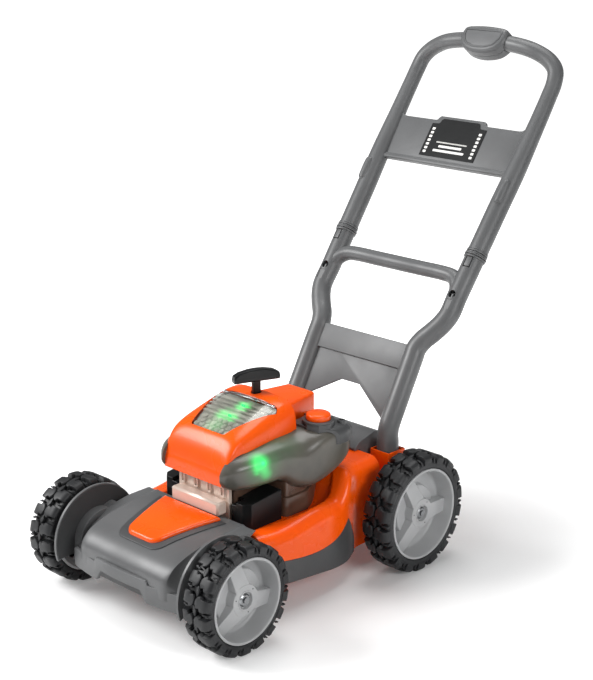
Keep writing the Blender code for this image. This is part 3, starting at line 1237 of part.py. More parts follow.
def make_starter():
    """T handle and cord on the slide, and the spool that turns as they are pulled."""
    pull = empty("starter_axis", (0.0, STARTER_Y, STARTER_GRIP_LOW_Z), ROOT)
    half = STARTER_GRIP_LENGTH / 2.0
    end, top = STARTER_GRIP_END, STARTER_GRIP_END + STARTER_GRIP_ARCH
    outline = [(-half, 0.0), (half, 0.0), (half + 0.0005, end * 0.5), (half - 0.0005, end),
               (half * 0.75, end + STARTER_GRIP_ARCH * 0.55), (half * 0.35, top - 0.0006), (0.0, top),
               (-half * 0.35, top - 0.0006), (-half * 0.75, end + STARTER_GRIP_ARCH * 0.55),
               (-half + 0.0005, end), (-half - 0.0005, end * 0.5)]
    turn = Matrix.Rotation(radians(STARTER_GRIP_TURN), 4, "Z")
    wide = STARTER_GRIP_WIDTH / 2.0
    grip = slab(outline, -wide, wide, FRONT, bevel=0.0014, segments=1, ends="both")
    grip.transform(turn)
    handle = put("starter_handle", grip, BLACK_SATIN, pull)
    along, across = STARTER_STEM_HALF
    stem_low = STARTER_STEM_LOW_Z - STARTER_GRIP_LOW_Z
    stem_shape = box((-along, -across, stem_low), (along, across, STARTER_GRIP_END / 2.0), 0.0008, 1)
    stem_shape.transform(turn)
    stem = put("starter_stem", stem_shape, None, pull)
    combine(handle, [stem], "UNION")
    put("starter_cord", rod((0.0, 0.0, CORD_LOW_Z - STARTER_GRIP_LOW_Z), (0.0, 0.0, stem_low - FIT_GAP),
                            CORD_R, 8),
        CORD_BLACK, pull)

    spool_y = STARTER_Y - SPOOL_R - CORD_R - FIT_GAP
    spin = empty("starter_spool_axis", (0.0, spool_y, SPOOL_Z), ROOT)
    groove = SPOOL_HALF - SPOOL_FLANGE
    bore = SPOOL_PIN_R + RUN_GAP
    spool = turned("starter_spool", [(bore, -SPOOL_HALF), (SPOOL_FLANGE_R, -SPOOL_HALF),
                                     (SPOOL_FLANGE_R, -groove),
                                     (SPOOL_R, -groove), (SPOOL_R, groove), (SPOOL_FLANGE_R, groove),
                                     (SPOOL_FLANGE_R, SPOOL_HALF), (bore, SPOOL_HALF)], 16, BLACK_SATIN,
                   spin)
    spool.rotation_euler = (0.0, pi / 2.0, 0.0)
    plate_top = CHASSIS_Z + CHASSIS_THICK
    cheek_in = SPOOL_HALF + RUN_GAP
    cheek_out = cheek_in + FRAME_CHEEK
    foot = plate_top + FIT_GAP
    frame = put("starter_frame", box((-cheek_out, spool_y - FRAME_REACH, foot),
                                     (cheek_out, spool_y + FRAME_REACH, SPOOL_Z + FRAME_REACH)), GREY_SATIN)
    gap = put("frame_gap", box((-cheek_in, spool_y - FRAME_REACH - 0.001, foot + FRAME_CHEEK),
                               (cheek_in, spool_y + FRAME_REACH + 0.001, SPOOL_Z + FRAME_REACH + 0.001)))
    pin = put("frame_pin", rod((-cheek_in - FRAME_CHEEK / 2.0, spool_y, SPOOL_Z),
                               (cheek_in + FRAME_CHEEK / 2.0, spool_y, SPOOL_Z), SPOOL_PIN_R, 12))
    slot = put("frame_slot", box((-CORD_R - SLIDE_GAP, STARTER_Y - CORD_R - SLIDE_GAP, foot - 0.001),
                                 (CORD_R + SLIDE_GAP, spool_y + FRAME_REACH + 0.001,
                                  foot + FRAME_CHEEK + 0.001)))
    combine(frame, [gap, slot])
    combine(frame, [pin], "UNION")
    case_low = cheek_out + FIT_GAP
    case = turned("recoil_case", [(0.0, RECOIL_WIDE), (RECOIL_R - 0.003, RECOIL_WIDE),
                                  (RECOIL_R, RECOIL_WIDE - 0.002),
                                  (RECOIL_R, 0.0), (0.0, 0.0)], 16, GREY_SATIN)
    case.location = (case_low, spool_y, SPOOL_Z)
    case.rotation_euler = (0.0, pi / 2.0, 0.0)


def make_inner_works():
    """Chassis plate with the lights, board, speaker and the finned cylinder seen through the window."""
    chassis_half = [(CHASSIS_HALF, CHASSIS_FRONT_Y, 0.0), (WING_HALF, CHASSIS_FRONT_Y, 0.0),
                    (WING_HALF, CHASSIS_FRONT_Y + WING_DEEP, 0.0),
                    (CHASSIS_HALF, CHASSIS_FRONT_Y + WING_DEEP, 0.0),
                    (CHASSIS_HALF, CHASSIS_REAR_Y, 0.003)]
    outline = rounded(mirrored(chassis_half[1:]), steps=1)
    chassis = put("chassis_plate", slab(outline, CHASSIS_Z, CHASSIS_Z + CHASSIS_THICK), DARK_SATIN)
    legs = []
    for x in (-CHASSIS_LEG_X, CHASSIS_LEG_X):
        for y in (CHASSIS_FRONT_Y + CHASSIS_LEG, CHASSIS_REAR_Y - CHASSIS_LEG):
            half = CHASSIS_LEG / 2.0
            legs.append(put("chassis_leg", box((x - half, y - half, PEDESTAL_Z + FIT_GAP),
                                               (x + half, y + half, CHASSIS_Z + CHASSIS_THICK / 2.0))))
    combine(chassis, legs, "UNION")
    combine(chassis, [put("cord_hole", rod((0.0, STARTER_Y, CHASSIS_Z - 0.002),
                                           (0.0, STARTER_Y, CHASSIS_Z + CHASSIS_THICK + 0.002), CORD_R * 2.0,
                                           10))])
    seat = CHASSIS_Z + CHASSIS_THICK + FIT_GAP
    for side, hand in ((1.0, "left"), (-1.0, "right")):
        light = turned("led_" + hand, [(0.0, LED_TALL), (LED_R * 0.6, LED_TALL - LED_R * 0.25),
                                       (LED_R, LED_TALL - LED_R), (LED_R, 0.0008), (LED_R * 1.2, 0.0008),
                                       (LED_R * 1.2, 0.0), (0.0, 0.0)], 12, LED_GREEN)
        light.location = (side * LED_X, LED_Y, seat)
    wide, deep, thick = BOARD_SIZE
    put("circuit_board", box((-wide / 2.0, BOARD_Y - deep / 2.0, seat), (wide / 2.0, BOARD_Y + deep / 2.0,
                                                                         seat + thick)), BOARD_GREEN)
    speaker = turned("speaker", [(0.0, SPEAKER_DEEP), (SPEAKER_R * 0.6, SPEAKER_DEEP),
                                 (SPEAKER_R * 0.62, 0.003),
                                 (SPEAKER_R, 0.003), (SPEAKER_R, 0.0), (0.0, 0.0)], 20, BLACK_SATIN)
    speaker.location = (0.0, SPEAKER_Y, PEDESTAL_Z + FIT_GAP)
    crown = [(arch[3], arch[4]) for arch in HOOD_ARCHES]
    rear = FINS_FRONT_Y + FINS_PITCH * (FIN_COUNT - 1) + FIN_THICK
    comb = [(FINS_FRONT_Y, seat)]
    for index in range(FIN_COUNT):
        start = FINS_FRONT_Y + FINS_PITCH * index
        if index:
            comb.append((start, FINS_BODY_Z))
        comb += [(start, between(crown, start) - FINS_CLEAR),
                 (start + FIN_THICK, between(crown, start) - FINS_CLEAR)]
        if index < FIN_COUNT - 1:
            comb.append((start + FIN_THICK, FINS_BODY_Z))
    comb.append((rear, seat))
    put("cylinder_fins", slab(comb, -FINS_HALF, FINS_HALF, SIDE), CHAMPAGNE)


def make_battery_bay():
    """Battery tray under the engine with three cells and its cover, and the power switch behind."""
    top = PEDESTAL_Z - DECK_ROOF - FIT_GAP
    cell_z = top - TRAY_WALL - FIT_GAP - CELL_R
    inner_x = CELL_LENGTH / 2.0 + SLIDE_GAP
    inner_y = CELL_PITCH * (CELL_COUNT - 1) / 2.0 + CELL_R + SLIDE_GAP
    low = cell_z - CELL_R - SLIDE_GAP
    tray = put("battery_tray", box((-inner_x - TRAY_WALL, TRAY_Y - inner_y - TRAY_WALL, low),
                                   (inner_x + TRAY_WALL, TRAY_Y + inner_y + TRAY_WALL, top)), DARK_SATIN)
    combine(tray, [put("tray_inside", box((-inner_x, TRAY_Y - inner_y, low - 0.002),
                                          (inner_x, TRAY_Y + inner_y, top - TRAY_WALL)))])
    put("battery_door", box((-inner_x - TRAY_WALL, TRAY_Y - inner_y - TRAY_WALL, low - FIT_GAP - DOOR_PLATE),
                            (inner_x + TRAY_WALL, TRAY_Y + inner_y + TRAY_WALL, low - FIT_GAP), 0.0006, 1),
        DARK_SATIN)
    for index in range(CELL_COUNT):
        y = TRAY_Y + CELL_PITCH * (index - (CELL_COUNT - 1) / 2.0)
        cell = turned("battery_{}".format(index + 1),
                      [(0.0, CELL_LENGTH), (NIPPLE_R, CELL_LENGTH), (NIPPLE_R, CELL_LENGTH - NIPPLE),
                       (CELL_R, CELL_LENGTH - NIPPLE), (CELL_R, 0.0), (0.0, 0.0)], 14, CELL_JACKET)
        ahead = 1.0 if index % 2 else -1.0
        cell.location = (-ahead * CELL_LENGTH / 2.0, y, cell_z)
        cell.rotation_euler = (0.0, ahead * pi / 2.0, 0.0)

    wide, deep, tall = SWITCH_SIZE
    roof = REAR_BLOCK_Z - DECK_ROOF - FIT_GAP
    body = put("switch_body", box((-wide / 2.0, SWITCH_Y - deep / 2.0, roof - tall),
                                  (wide / 2.0, SWITCH_Y + deep / 2.0, roof)), BLACK_SATIN)
    knob_x, knob_y, knob_z = SLIDER_SIZE
    run = (knob_x + SWITCH_TRAVEL) / 2.0 + FIT_GAP
    combine(body, [put("switch_slot", box((-run, SWITCH_Y - knob_y / 2.0 - RUN_GAP, roof - tall - 0.001),
                                          (run, SWITCH_Y + knob_y / 2.0 + RUN_GAP, roof - SWITCH_WALL)))])
    knob_top = roof - SWITCH_WALL - FIT_GAP
    slide = empty("switch_axis", (-SWITCH_TRAVEL / 2.0, SWITCH_Y, knob_top), ROOT)
    put("switch_slider", box((-knob_x / 2.0, -knob_y / 2.0, -knob_z), (knob_x / 2.0, knob_y / 2.0, 0.0)),
        GREY_SATIN, slide)


make_starter()
make_inner_works()
make_battery_bay()


# Handle

LEG_PLANE = leaning((0.0, *LEG_BEND[0]), LEG_LEAN)


def up_leg(z):
    """Distance along the lower legs' slope at a height."""
    return (z - LEG_BEND[0][1]) / cos(radians(LEG_LEAN))


def joint_x(s):
    """Half width of the handle's joint at a distance along its slope."""
    return JOINT_X + (s - JOINT_S) * JOINT_SPLAY


def upper_bar(low_s, grow):
    """Bent bar of the upper handle from one leg over the grip to the other."""
    half = [(joint_x(low_s), low_s, 0.0, UPPER_RUN[0][3])] + UPPER_RUN
    run = [(-x, *rest) for x, *rest in half] + [station for station in reversed(half[:-1])]
    radius = UPPER_RUN[0][3]
    return tube([HANDLE @ Vector(station[:3]) for station in run], radius,
                [(station[3] + grow) / radius for station in run])


def joint_rod(side, start_s, end_s, radius, sides=16, out=0.0, turn=0.0):
    """Cylinder along one joint, or off its axis by a distance at a turn from straight ahead."""
    across, ahead = side * out * sin(radians(turn)), out * cos(radians(turn))
    start, end = [HANDLE @ Vector((side * joint_x(s) + across, s, ahead)) for s in (start_s, end_s)]
    return rod(start, end, radius, sides)


def joint_block(side, half, reach, near, far):
    """Block on the joint's snap, facing outwards from straight ahead by the snap's turn."""
    mesh = box((-half, TAB_S - reach, near), (half, TAB_S + reach, far))
    turn = Matrix.Rotation(side * radians(TAB_TURN), 4, "Y")
    mesh.transform(HANDLE @ Matrix.Translation((side * joint_x(TAB_S), 0.0, 0.0)) @ turn)
    return mesh


def make_lower_handle():
    """Lower handle: two kinked legs joined by a crossbar and a plate, with sockets for the upper part."""
    parts = []
    collar_low = JOINT_S - COLLAR_LENGTH
    for side in (-1.0, 1.0):
        run = place_on(HANDLE, [(side * joint_x(collar_low), collar_low)] + [(side * x, s) for x, s in KINK])
        run += [Vector((side * LEG_HALF, y, z)) for y, z in LEG_BEND]
        foot_from = LEG_BEND[-1][1] - 0.008
        run += [Vector((side * LEG_HALF, LEG_FOOT_Y, foot_from)),
                Vector((side * LEG_HALF, LEG_FOOT_Y, FOOT_LOW_Z))]
        shares = [1.0] * (len(run) - 2) + [FOOT_R / HANDLE_R] * 2
        parts.append(tube(run, HANDLE_R, shares))
    lower = put("handle_lower", parts[0], GREY_SATIN)
    joined = [put("lower_leg", parts[1])]
    end_x, end_s = CROSSBAR_END
    bend = [(-end_x, end_s, 0.0), (-CROSSBAR_HALF, CROSSBAR_S, CROSSBAR_BEND),
            (CROSSBAR_HALF, CROSSBAR_S, CROSSBAR_BEND), (end_x, end_s, 0.0)]
    joined.append(put("crossbar", tube(place_on(HANDLE, rounded(bend, steps=4, closed=False)), CROSSBAR_R)))
    for side in (-1.0, 1.0):
        joined.append(put("collar", joint_rod(side, collar_low - 0.0012, JOINT_S, COLLAR_R)))
    plate = [(PLATE_NOTCH_HALF, up_leg(PLATE_NOTCH_Z)), (PLATE_NOTCH_FOOT, up_leg(PLATE_LOW_Z)),
             (LEG_HALF, up_leg(PLATE_LOW_Z)), (LEG_HALF, up_leg(PLATE_TOP_Z))]
    joined.append(put("leg_plate", slab(mirrored(plate), -PLATE_THICK / 2.0, PLATE_THICK / 2.0, LEG_PLANE)))
    band = [(LEG_HALF - 0.001, up_leg(PLATE_STEP_Z)), (LEG_HALF - 0.001, up_leg(PLATE_TOP_Z) + 0.0005)]
    joined.append(put("leg_band", slab(mirrored(band), -PLATE_THICK / 2.0 + 0.0005,
                                       PLATE_BAND - PLATE_THICK / 2.0,
                                       LEG_PLANE)))
    combine(lower, joined, "UNION")
    cuts = []
    for side in (-1.0, 1.0):
        cuts.append(put("socket", joint_rod(side, JOINT_S - SPIGOT_LENGTH - FIT_GAP, JOINT_S + 0.002,
                                            SPIGOT_R + FIT_GAP)))
        cuts.append(put("snap_window", joint_block(side, TAB_WIDTH / 2.0 + FIT_GAP,
                                                   TAB_LENGTH / 2.0 + FIT_GAP,
                                                   SPIGOT_R * 0.5, HANDLE_R * 1.3)))
        start, end = [HANDLE @ Vector((side * joint_x(SCREW_S), SCREW_S, depth))
                      for depth in (HANDLE_R - SCREW_DEEP, HANDLE_R + 0.004)]
        cuts.append(put("screw_recess", rod(start, end, SCREW_R, 12)))
    combine(lower, cuts)


def make_upper_handle():
    """Upper handle: the bent grip with its spigots and panel, and the label plate on the panel."""
    upper = put("handle_upper", upper_bar(JOINT_S + FIT_GAP, 0.0), GREY_SATIN)
    joined = []
    for side in (-1.0, 1.0):
        joined.append(put("spigot", joint_rod(side, JOINT_S - SPIGOT_LENGTH, JOINT_S + 0.010, SPIGOT_R)))
        joined.append(put("snap_tab", joint_block(side, TAB_WIDTH / 2.0, TAB_LENGTH / 2.0, SPIGOT_R * 0.6,
                                                  HANDLE_R - 0.0004)))
        joined.append(put("grip_boss", joint_rod(side, *BOSS_S, BOSS_R, 10, BOSS_OUT, BOSS_TURN)))
    panel = [(PANEL_HALF, PANEL_LOW_S), (PANEL_HALF, PANEL_TOP_S), (PANEL_HUMP_HALF + 0.007, PANEL_TOP_S),
             (PANEL_HUMP_HALF, PANEL_HUMP_S)]
    joined.append(put("panel", slab(mirrored(panel), -PANEL_THICK / 2.0, PANEL_THICK / 2.0, HANDLE)))
    lip = [(PANEL_HALF - 0.001, PANEL_LOW_S - 0.0005), (PANEL_HALF - 0.001, PANEL_LOW_S + PANEL_LIP)]
    joined.append(put("panel_lip", slab(mirrored(lip), -PANEL_LIP_THICK / 2.0, PANEL_LIP_THICK / 2.0,
                                        HANDLE)))
    combine(upper, joined, "UNION")
    front = PANEL_THICK / 2.0 + FIT_GAP
    label = [(x, s + PANEL_LIP * (s < 0.010), radius) for x, s, radius in LABEL]
    put("label_plate", slab(rounded(mirrored(label), steps=1), front, front + LABEL_THICK, HANDLE),
        BLACK_SATIN)


def make_pod():
    """Clamped box on the grip: two halves round the bar and an insert in the front one."""
    shape = rounded(mirrored(POD_OUTLINE))
    seam = FIT_GAP / 2.0
    bar = upper_bar(0.0, FIT_GAP)
    front, rear = POD_FORWARD + POD_DEPTH, POD_FORWARD - POD_DEPTH
    cover = put("pod_cover", slab(shape, POD_FORWARD + seam, front, HANDLE, bevel=POD_ROUND, segments=2),
                GREY_SATIN)
    combine(cover, [put("pod_bar_front", bar)])
    base = put("pod_base", slab(shape, rear, POD_FORWARD - seam, HANDLE, bevel=POD_ROUND, segments=2,
                                ends="low"),
               GREY_SATIN)
    combine(base, [put("pod_bar_rear", bar.copy())])
    low = front + FIT_GAP
    put("pod_insert", slab(rounded(mirrored(POD_INSERT)), low, low + POD_INSERT_THICK, HANDLE), DARK_SATIN)


make_lower_handle()
make_upper_handle()
make_pod()
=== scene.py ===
"""Looks of the toy push mower: rounded mouldings, tread, smoky covers, lights and camera.

World metres. The shapes are drawn with y measured from the front axle, as on the mower's drawing;
standing() moves each finished mesh back by MID_Y to where the CAD solids stand.
"""

import bmesh
import bpy
import json
from math import acos, copysign, cos, pi, radians, sin, tan
from mathutils import Matrix, Vector


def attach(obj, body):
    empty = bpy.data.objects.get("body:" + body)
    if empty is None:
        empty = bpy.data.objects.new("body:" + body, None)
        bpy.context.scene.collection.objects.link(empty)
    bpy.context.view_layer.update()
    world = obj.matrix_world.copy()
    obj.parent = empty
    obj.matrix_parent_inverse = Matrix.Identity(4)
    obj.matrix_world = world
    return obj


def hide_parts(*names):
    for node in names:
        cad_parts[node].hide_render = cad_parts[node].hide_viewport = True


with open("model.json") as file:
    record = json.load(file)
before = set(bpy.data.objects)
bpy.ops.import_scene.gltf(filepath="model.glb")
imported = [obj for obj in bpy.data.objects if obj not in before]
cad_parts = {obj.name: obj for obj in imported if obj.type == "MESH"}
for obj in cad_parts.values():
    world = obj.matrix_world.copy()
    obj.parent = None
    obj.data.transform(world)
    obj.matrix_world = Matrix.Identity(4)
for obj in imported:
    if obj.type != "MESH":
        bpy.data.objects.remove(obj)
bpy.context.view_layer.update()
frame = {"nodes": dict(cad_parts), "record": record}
BODY_OF = {node: body for body, members in frame["record"]["behaviour"]["bodies"].items() for node in members}

MID_Y = 0.25355             # front axle to the middle of the mower's length
GAP = 0.0003                # gap between pieces that touch
SIDES = (1.0, -1.0)         # the mower's left, then its right
FRONT_R = 0.060             # front wheel, and the height of its axle
REAR_R = 0.069
REAR_Y = 0.276              # rear axle
AXLE_BOSS_R = 0.0090
AXLE_BOSS_X = 0.1084        # outer end of the bosses that the wheels turn against
LEG_HALF = 0.0755           # centre plane of the mower to the handle's feet


# Colours and finishes

def linear(code):
    """sRGB hex code as a linear colour."""
    shares = [int(code[start:start + 2], 16) / 255.0 for start in (0, 2, 4)]
    return (*[share / 12.92 if share <= 0.04045 else ((share + 0.055) / 1.055) ** 2.4 for share in shares], 1.0)


def per(size_mm):
    """Texture scale that gives one feature every size_mm millimetres of Object space."""
    return 1000.0 / size_mm


def add(material, kind, inputs=(), **settings):
    """Add a node with its settings, each input a value or a socket to link from."""
    made = material.node_tree.nodes.new(kind)
    for name, value in settings.items():
        setattr(made, name, value)
    for name, value in dict(inputs).items():
        if isinstance(value, bpy.types.NodeSocket):
            material.node_tree.links.new(value, made.inputs[name])
        else:
            made.inputs[name].default_value = value
    return made


def cleared(owner):
    """A material or world with an empty node tree."""
    owner.use_nodes = True
    owner.node_tree.nodes.clear()
    return owner


def blank(name):
    """New material with only its output, and the Object coordinates that its patterns read."""
    material = cleared(bpy.data.materials.new(name))
    place = add(material, "ShaderNodeTexCoord").outputs["Object"]
    return material, place, add(material, "ShaderNodeOutputMaterial")


def tinted(material, place, colour, shade, cloud_mm, low, high):
    """Cloudy noise and the two shades that it mixes."""
    cloud = add(material, "ShaderNodeTexNoise", {"Vector": place, "Scale": per(cloud_mm), "Detail": 3.0})
    veil = add(material, "ShaderNodeMapRange", {"Value": cloud.outputs["Fac"], "From Min": low, "From Max": high})
    tint = add(material, "ShaderNodeMix", {0: veil.outputs["Result"], 6: linear(colour), 7: linear(shade)},
               data_type="RGBA")
    return cloud.outputs["Fac"], tint.outputs[2]


def moulded(name, colour, shade, rough, grain_mm, grain_deep, spread=0.08, scuff=0.0, **sockets):
    """Injection-moulded plastic: cloudy colour, matt patches, spark-eroded grain and fine scuffs."""
    material, place, output = blank(name)
    cloud, tint = tinted(material, place, colour, shade, 45.0, 0.35, 0.65)
    grain = add(material, "ShaderNodeTexNoise", {"Vector": place, "Scale": per(grain_mm), "Detail": 2.0})
    drawn = add(material, "ShaderNodeMapping", {"Vector": place, "Scale": (1.0, 0.14, 1.0)})
    lines = add(material, "ShaderNodeTexNoise", {"Vector": drawn.outputs["Vector"], "Scale": per(1.1),
                                                 "Detail": 4.0, "Roughness": 0.7})
    marks = add(material, "ShaderNodeMapRange", {"Value": lines.outputs["Fac"], "From Min": 0.60, "From Max": 0.72,
                                                 "To Max": scuff})
    matt = add(material, "ShaderNodeMapRange", {"Value": cloud, "From Min": 0.3, "From Max": 0.7,
                                                "To Min": rough - spread, "To Max": rough + spread})
    dull = add(material, "ShaderNodeMath", {0: matt.outputs["Result"], 1: marks.outputs["Result"]}, operation="ADD")
    bump = add(material, "ShaderNodeBump", {"Height": grain.outputs["Fac"], "Strength": 0.6,
                                            "Distance": grain_deep / 1000.0})
    values = {"Base Color": tint, "Roughness": dull.outputs["Value"], "Normal": bump.outputs["Normal"]}
    values.update({key.replace("_", " "): value for key, value in sockets.items()})
    shader = add(material, "ShaderNodeBsdfPrincipled", values)
    material.node_tree.links.new(shader.outputs["BSDF"], output.inputs["Surface"])
    return material


# Deck, hood, badge and cap: ABS from a polished tool, so broad soft highlights on a saturated orange
ORANGE = moulded("glossy_orange_abs", "FF5C04", "FD5402", 0.28, 5.0, 0.03, 0.04, 0.05, Coat_Weight=0.08,
                 Coat_Roughness=0.10, Specular_IOR_Level=0.28)
# Cover, bumper, handle and pod: polypropylene from an eroded tool, satin with a fine even grain
GREY = moulded("satin_grey_polypropylene", "5E5F60", "565758", 0.42, 0.7, 0.03, 0.05, 0.06)
# Badge in the handle's pod: the same plastic, polished a little lighter
PALE = moulded("polished_grey_polypropylene", "6A6B6C", "626364", 0.34, 0.9, 0.02, 0.05, 0.05)
# Plain marks on the label plate: screen-printed white ink, chalky and slightly uneven
PRINT = moulded("screen_printed_white_ink", "E9E8E4", "DEDDD8", 0.58, 0.5, 0.02, 0.05, 0.05)
# Painted shade inside the front arches: dull, dark sheets on the inner faces of the flanges, standing in for the
# shade there, that take no highlight
ARCH_SHADE = moulded("painted_arch_shade", "343536", "2C2D2E", 0.62, 0.9, 0.03, 0.05, 0.05)
# Film of the label plate: matt black, so that it stays dark where the handle shines
FILM = moulded("matt_black_label_film", "101112", "0C0D0E", 0.66, 0.6, 0.02, 0.04, 0.04, Specular_IOR_Level=0.3)
# Skirts, tank top and badge tray: the same plastic in a darker batch, so a shade below the cover. Also the dark discs
# painted as shade in the hubs' holes, and the nose's tongue painted as shade behind the bumper's slots
DARK = moulded("satin_dark_grey_polypropylene", "434445", "3C3D3E", 0.44, 0.7, 0.03, 0.05, 0.06)
# Air boxes and starter handle: black ABS, moulded smooth, with a tight soft highlight
BLACK = moulded("satin_black_abs", "161718", "121314", 0.36, 1.2, 0.02, 0.05, 0.05, Specular_IOR_Level=0.25)
# Tyres: hard black polyethylene with the dusty, slightly open skin of a blown tread
TREAD = moulded("black_polyethylene_tread", "212224", "191A1C", 0.50, 1.0, 0.06, 0.07, 0.10, Specular_IOR_Level=0.4)
# Rims: light grey polypropylene with a faint flow pattern
RIM = moulded("light_grey_polypropylene", "AEAFB0", "A4A5A6", 0.38, 1.0, 0.03, 0.05, 0.05)
# Dummy exhaust: warm champagne plastic with mica flakes, so a metallic sheen
CHAMPAGNE = moulded("champagne_mica_abs", "E6D2C4", "DCC6B8", 0.34, 0.6, 0.03, 0.05, 0.04, Metallic=0.15)
# Axle ends: zinc-plated steel, slightly dull
STEEL = moulded("zinc_plated_steel", "8E9092", "7C7E80", 0.34, 1.5, 0.02, 0.06, 0.08, Metallic=1.0)
# Bar behind the window: vacuum-metallised trim
CHROME = moulded("vacuum_metallised_trim", "D8D9DA", "C9CACB", 0.16, 4.0, 0.02, 0.03, 0.05, Metallic=1.0)
# Circuit board: green solder lacquer, thin and glossy
BOARD = moulded("green_board_lacquer", "1E5B36", "184B2C", 0.35, 2.0, 0.02, 0.05, 0.04)
# Cells: grey shrink film with a smooth sheen
CELL = moulded("cell_shrink_film", "8A8C8F", "7C7E81", 0.30, 6.0, 0.03, 0.05, 0.04)
# Starter cord: braided black nylon, rough and without shine
CORD = moulded("black_nylon_braid", "1B1B1C", "101011", 0.75, 0.8, 0.15, 0.05, 0.0)


def smoky(name, colour, shade, rough, glow, see_through, places):
    """Smoke-tinted clear ABS: partly see-through, with green emission round given places, which is a lamp's own light
    on its lens and painted glow where lamps behind would light the plastic.
    """
    material, place, output = blank(name)
    cloud, tint = tinted(material, place, colour, shade, 30.0, 0.3, 0.7)
    light = None
    for lamp, strength, reach_mm in places:
        away = add(material, "ShaderNodeVectorMath", {0: place, 1: (lamp[0], lamp[1] - MID_Y, lamp[2])},
                   operation="DISTANCE")
        near = add(material, "ShaderNodeMapRange", {"Value": away.outputs["Value"], "From Min": 0.0,
                                                    "From Max": reach_mm / 1000.0, "To Min": strength,
                                                    "To Max": 0.0}, interpolation_type="SMOOTHERSTEP")
        light = near.outputs["Result"] if light is None else add(
            material, "ShaderNodeMath", {0: light, 1: near.outputs["Result"]}, operation="ADD").outputs["Value"]
    values = {"Base Color": tint, "Roughness": rough, "Transmission Weight": see_through, "IOR": 1.5}
    if light is not None:
        values["Emission Color"] = linear("00F56E")
        flicker = add(material, "ShaderNodeMapRange", {"Value": cloud, "From Min": 0.3, "From Max": 0.7,
                                                       "To Min": 0.7, "To Max": 1.2})
        lit = add(material, "ShaderNodeMath", {0: light, 1: flicker.outputs["Result"]}, operation="MULTIPLY")
        values["Emission Strength"] = add(material, "ShaderNodeMath", {0: lit.outputs["Value"], 1: glow},
                                          operation="MULTIPLY").outputs["Value"]
    shader = add(material, "ShaderNodeBsdfPrincipled", values)
    material.node_tree.links.new(shader.outputs["BSDF"], output.inputs["Surface"])
    return material


# Painted glow: green light painted as emission in the shroud round its lamp: place, strength and reach in millimetres
SHROUD_PAINTED_GLOW = [((0.0650, 0.0930, 0.1610), 1.3, 17.0), ((0.0660, 0.0965, 0.1600), 2.4, 5.0),
               ((0.0680, 0.0990, 0.1485), 0.60, 11.0), ((0.0670, 0.0960, 0.1570), 0.16, 32.0),
               ((0.0600, 0.1300, 0.1760), 0.05, 40.0)]
# Shroud: clear ABS tinted with smoke, frosted inside, so that only light and shade pass through, with a painted glow
# round each lamp
SMOKE = smoky("smoky_clear_abs", "6A665D", "5A5852", 0.30, 0.9, 0.22,
              [((sign * x, y, z), strength, reach) for (x, y, z), strength, reach in SHROUD_PAINTED_GLOW for sign in (1, -1)])
# Casing below the shroud: the same plastic in a browner tint, nearly opaque
SMOKE_BASE = smoky("brown_smoky_abs", "6B5244", "553F33", 0.30, 1.0, 0.10, [])
# Window: the clearest batch, polished on both sides
WINDOW = smoky("smoky_window_abs", "EEEDE8", "E2E0DA", 0.06, 1.0, 1.0, [])
# Mouldings under the window: grey polypropylene seen through the smoke, with a green glow painted on as emission
# round the two lamps
ENGINE_GREY = smoky("engine_grey_polypropylene", "D6D8D2", "9EA19A", 0.30, 1.5, 0.0,
                    [((0.004, 0.1290, 0.1990), 0.8, 15.0), ((-0.006, 0.1085, 0.1930), 0.6, 15.0),
                     ((0.008, 0.1080, 0.1930), 0.6, 13.0), ((0.000, 0.0900, 0.1870), 0.18, 20.0)])
# Lenses of the lamps: clear green, brightest in their middles
LENS = smoky("green_lamp_lens", "30FF80", "18E868", 0.10, 3.0, 0.0,
             [((0.0490, 0.0980, 0.1500), 1.0, 25.0), ((-0.0490, 0.0980, 0.1500), 1.0, 25.0),
              ((0.0040, 0.1190, 0.1960), 1.0, 25.0)])


# Shape helpers

def flowing(stations, steps=4):
    """Smooth run through stations of any length, each span cut into steps."""
    points = [Vector(station) for station in stations]
    path = [2.0 * points[0] - points[1], *points, 2.0 * points[-1] - points[-2]]
    run = []
    for a, b, c, d in zip(path, path[1:], path[2:], path[3:]):
        for step in range(steps):
            t = step / steps
            run.append(0.5 * (2.0 * b + (c - a) * t + (2.0 * a - 5.0 * b + 4.0 * c - d) * t * t
                              + (3.0 * b - a - 3.0 * c + d) * t ** 3))
    return run + [points[-1]]


def rounded(corners, steps=6, closed=True):
    """Outline through (a, b, radius) corners, each turned into an arc of that radius."""
    outline = []
    count = len(corners)
    for index, (a, b, radius) in enumerate(corners):
        corner = Vector((a, b))
        if radius <= 0.0 or (not closed and index in (0, count - 1)):
            outline.append(corner)
            continue
        before = (Vector(corners[index - 1][:2]) - corner).normalized()
        after = (Vector(corners[(index + 1) % count][:2]) - corner).normalized()
        half = acos(max(-1.0, min(1.0, before.dot(after)))) / 2.0
        centre = corner + (before + after).normalized() * radius / sin(half)
        start = corner + before * radius / tan(half) - centre
        side = 1.0 if before.x * after.y - before.y * after.x < 0.0 else -1.0
        for step in range(steps + 1):
            outline.append(centre + Matrix.Rotation(side * (pi - 2.0 * half) * step / steps, 2) @ start)
    return outline


def mirrored(half):
    """Whole outline from its +X half."""
    return half + [(-corner[0], *corner[1:]) for corner in reversed(half)]


def oval(x, y, across, along=None, sides=32, turn=0.0):
    """Round or oval outline."""
    angles = [turn + 2.0 * pi * step / sides for step in range(sides)]
    return [(x + across * cos(angle), y + (along or across) * sin(angle)) for angle in angles]


def oblong(x_low, x_high, y_low, y_high, radius=0.0, steps=6):
    """Rectangular outline with rounded corners."""
    return rounded([(x_low, y_low, radius), (x_high, y_low, radius), (x_high, y_high, radius),
                    (x_low, y_high, radius)], steps)


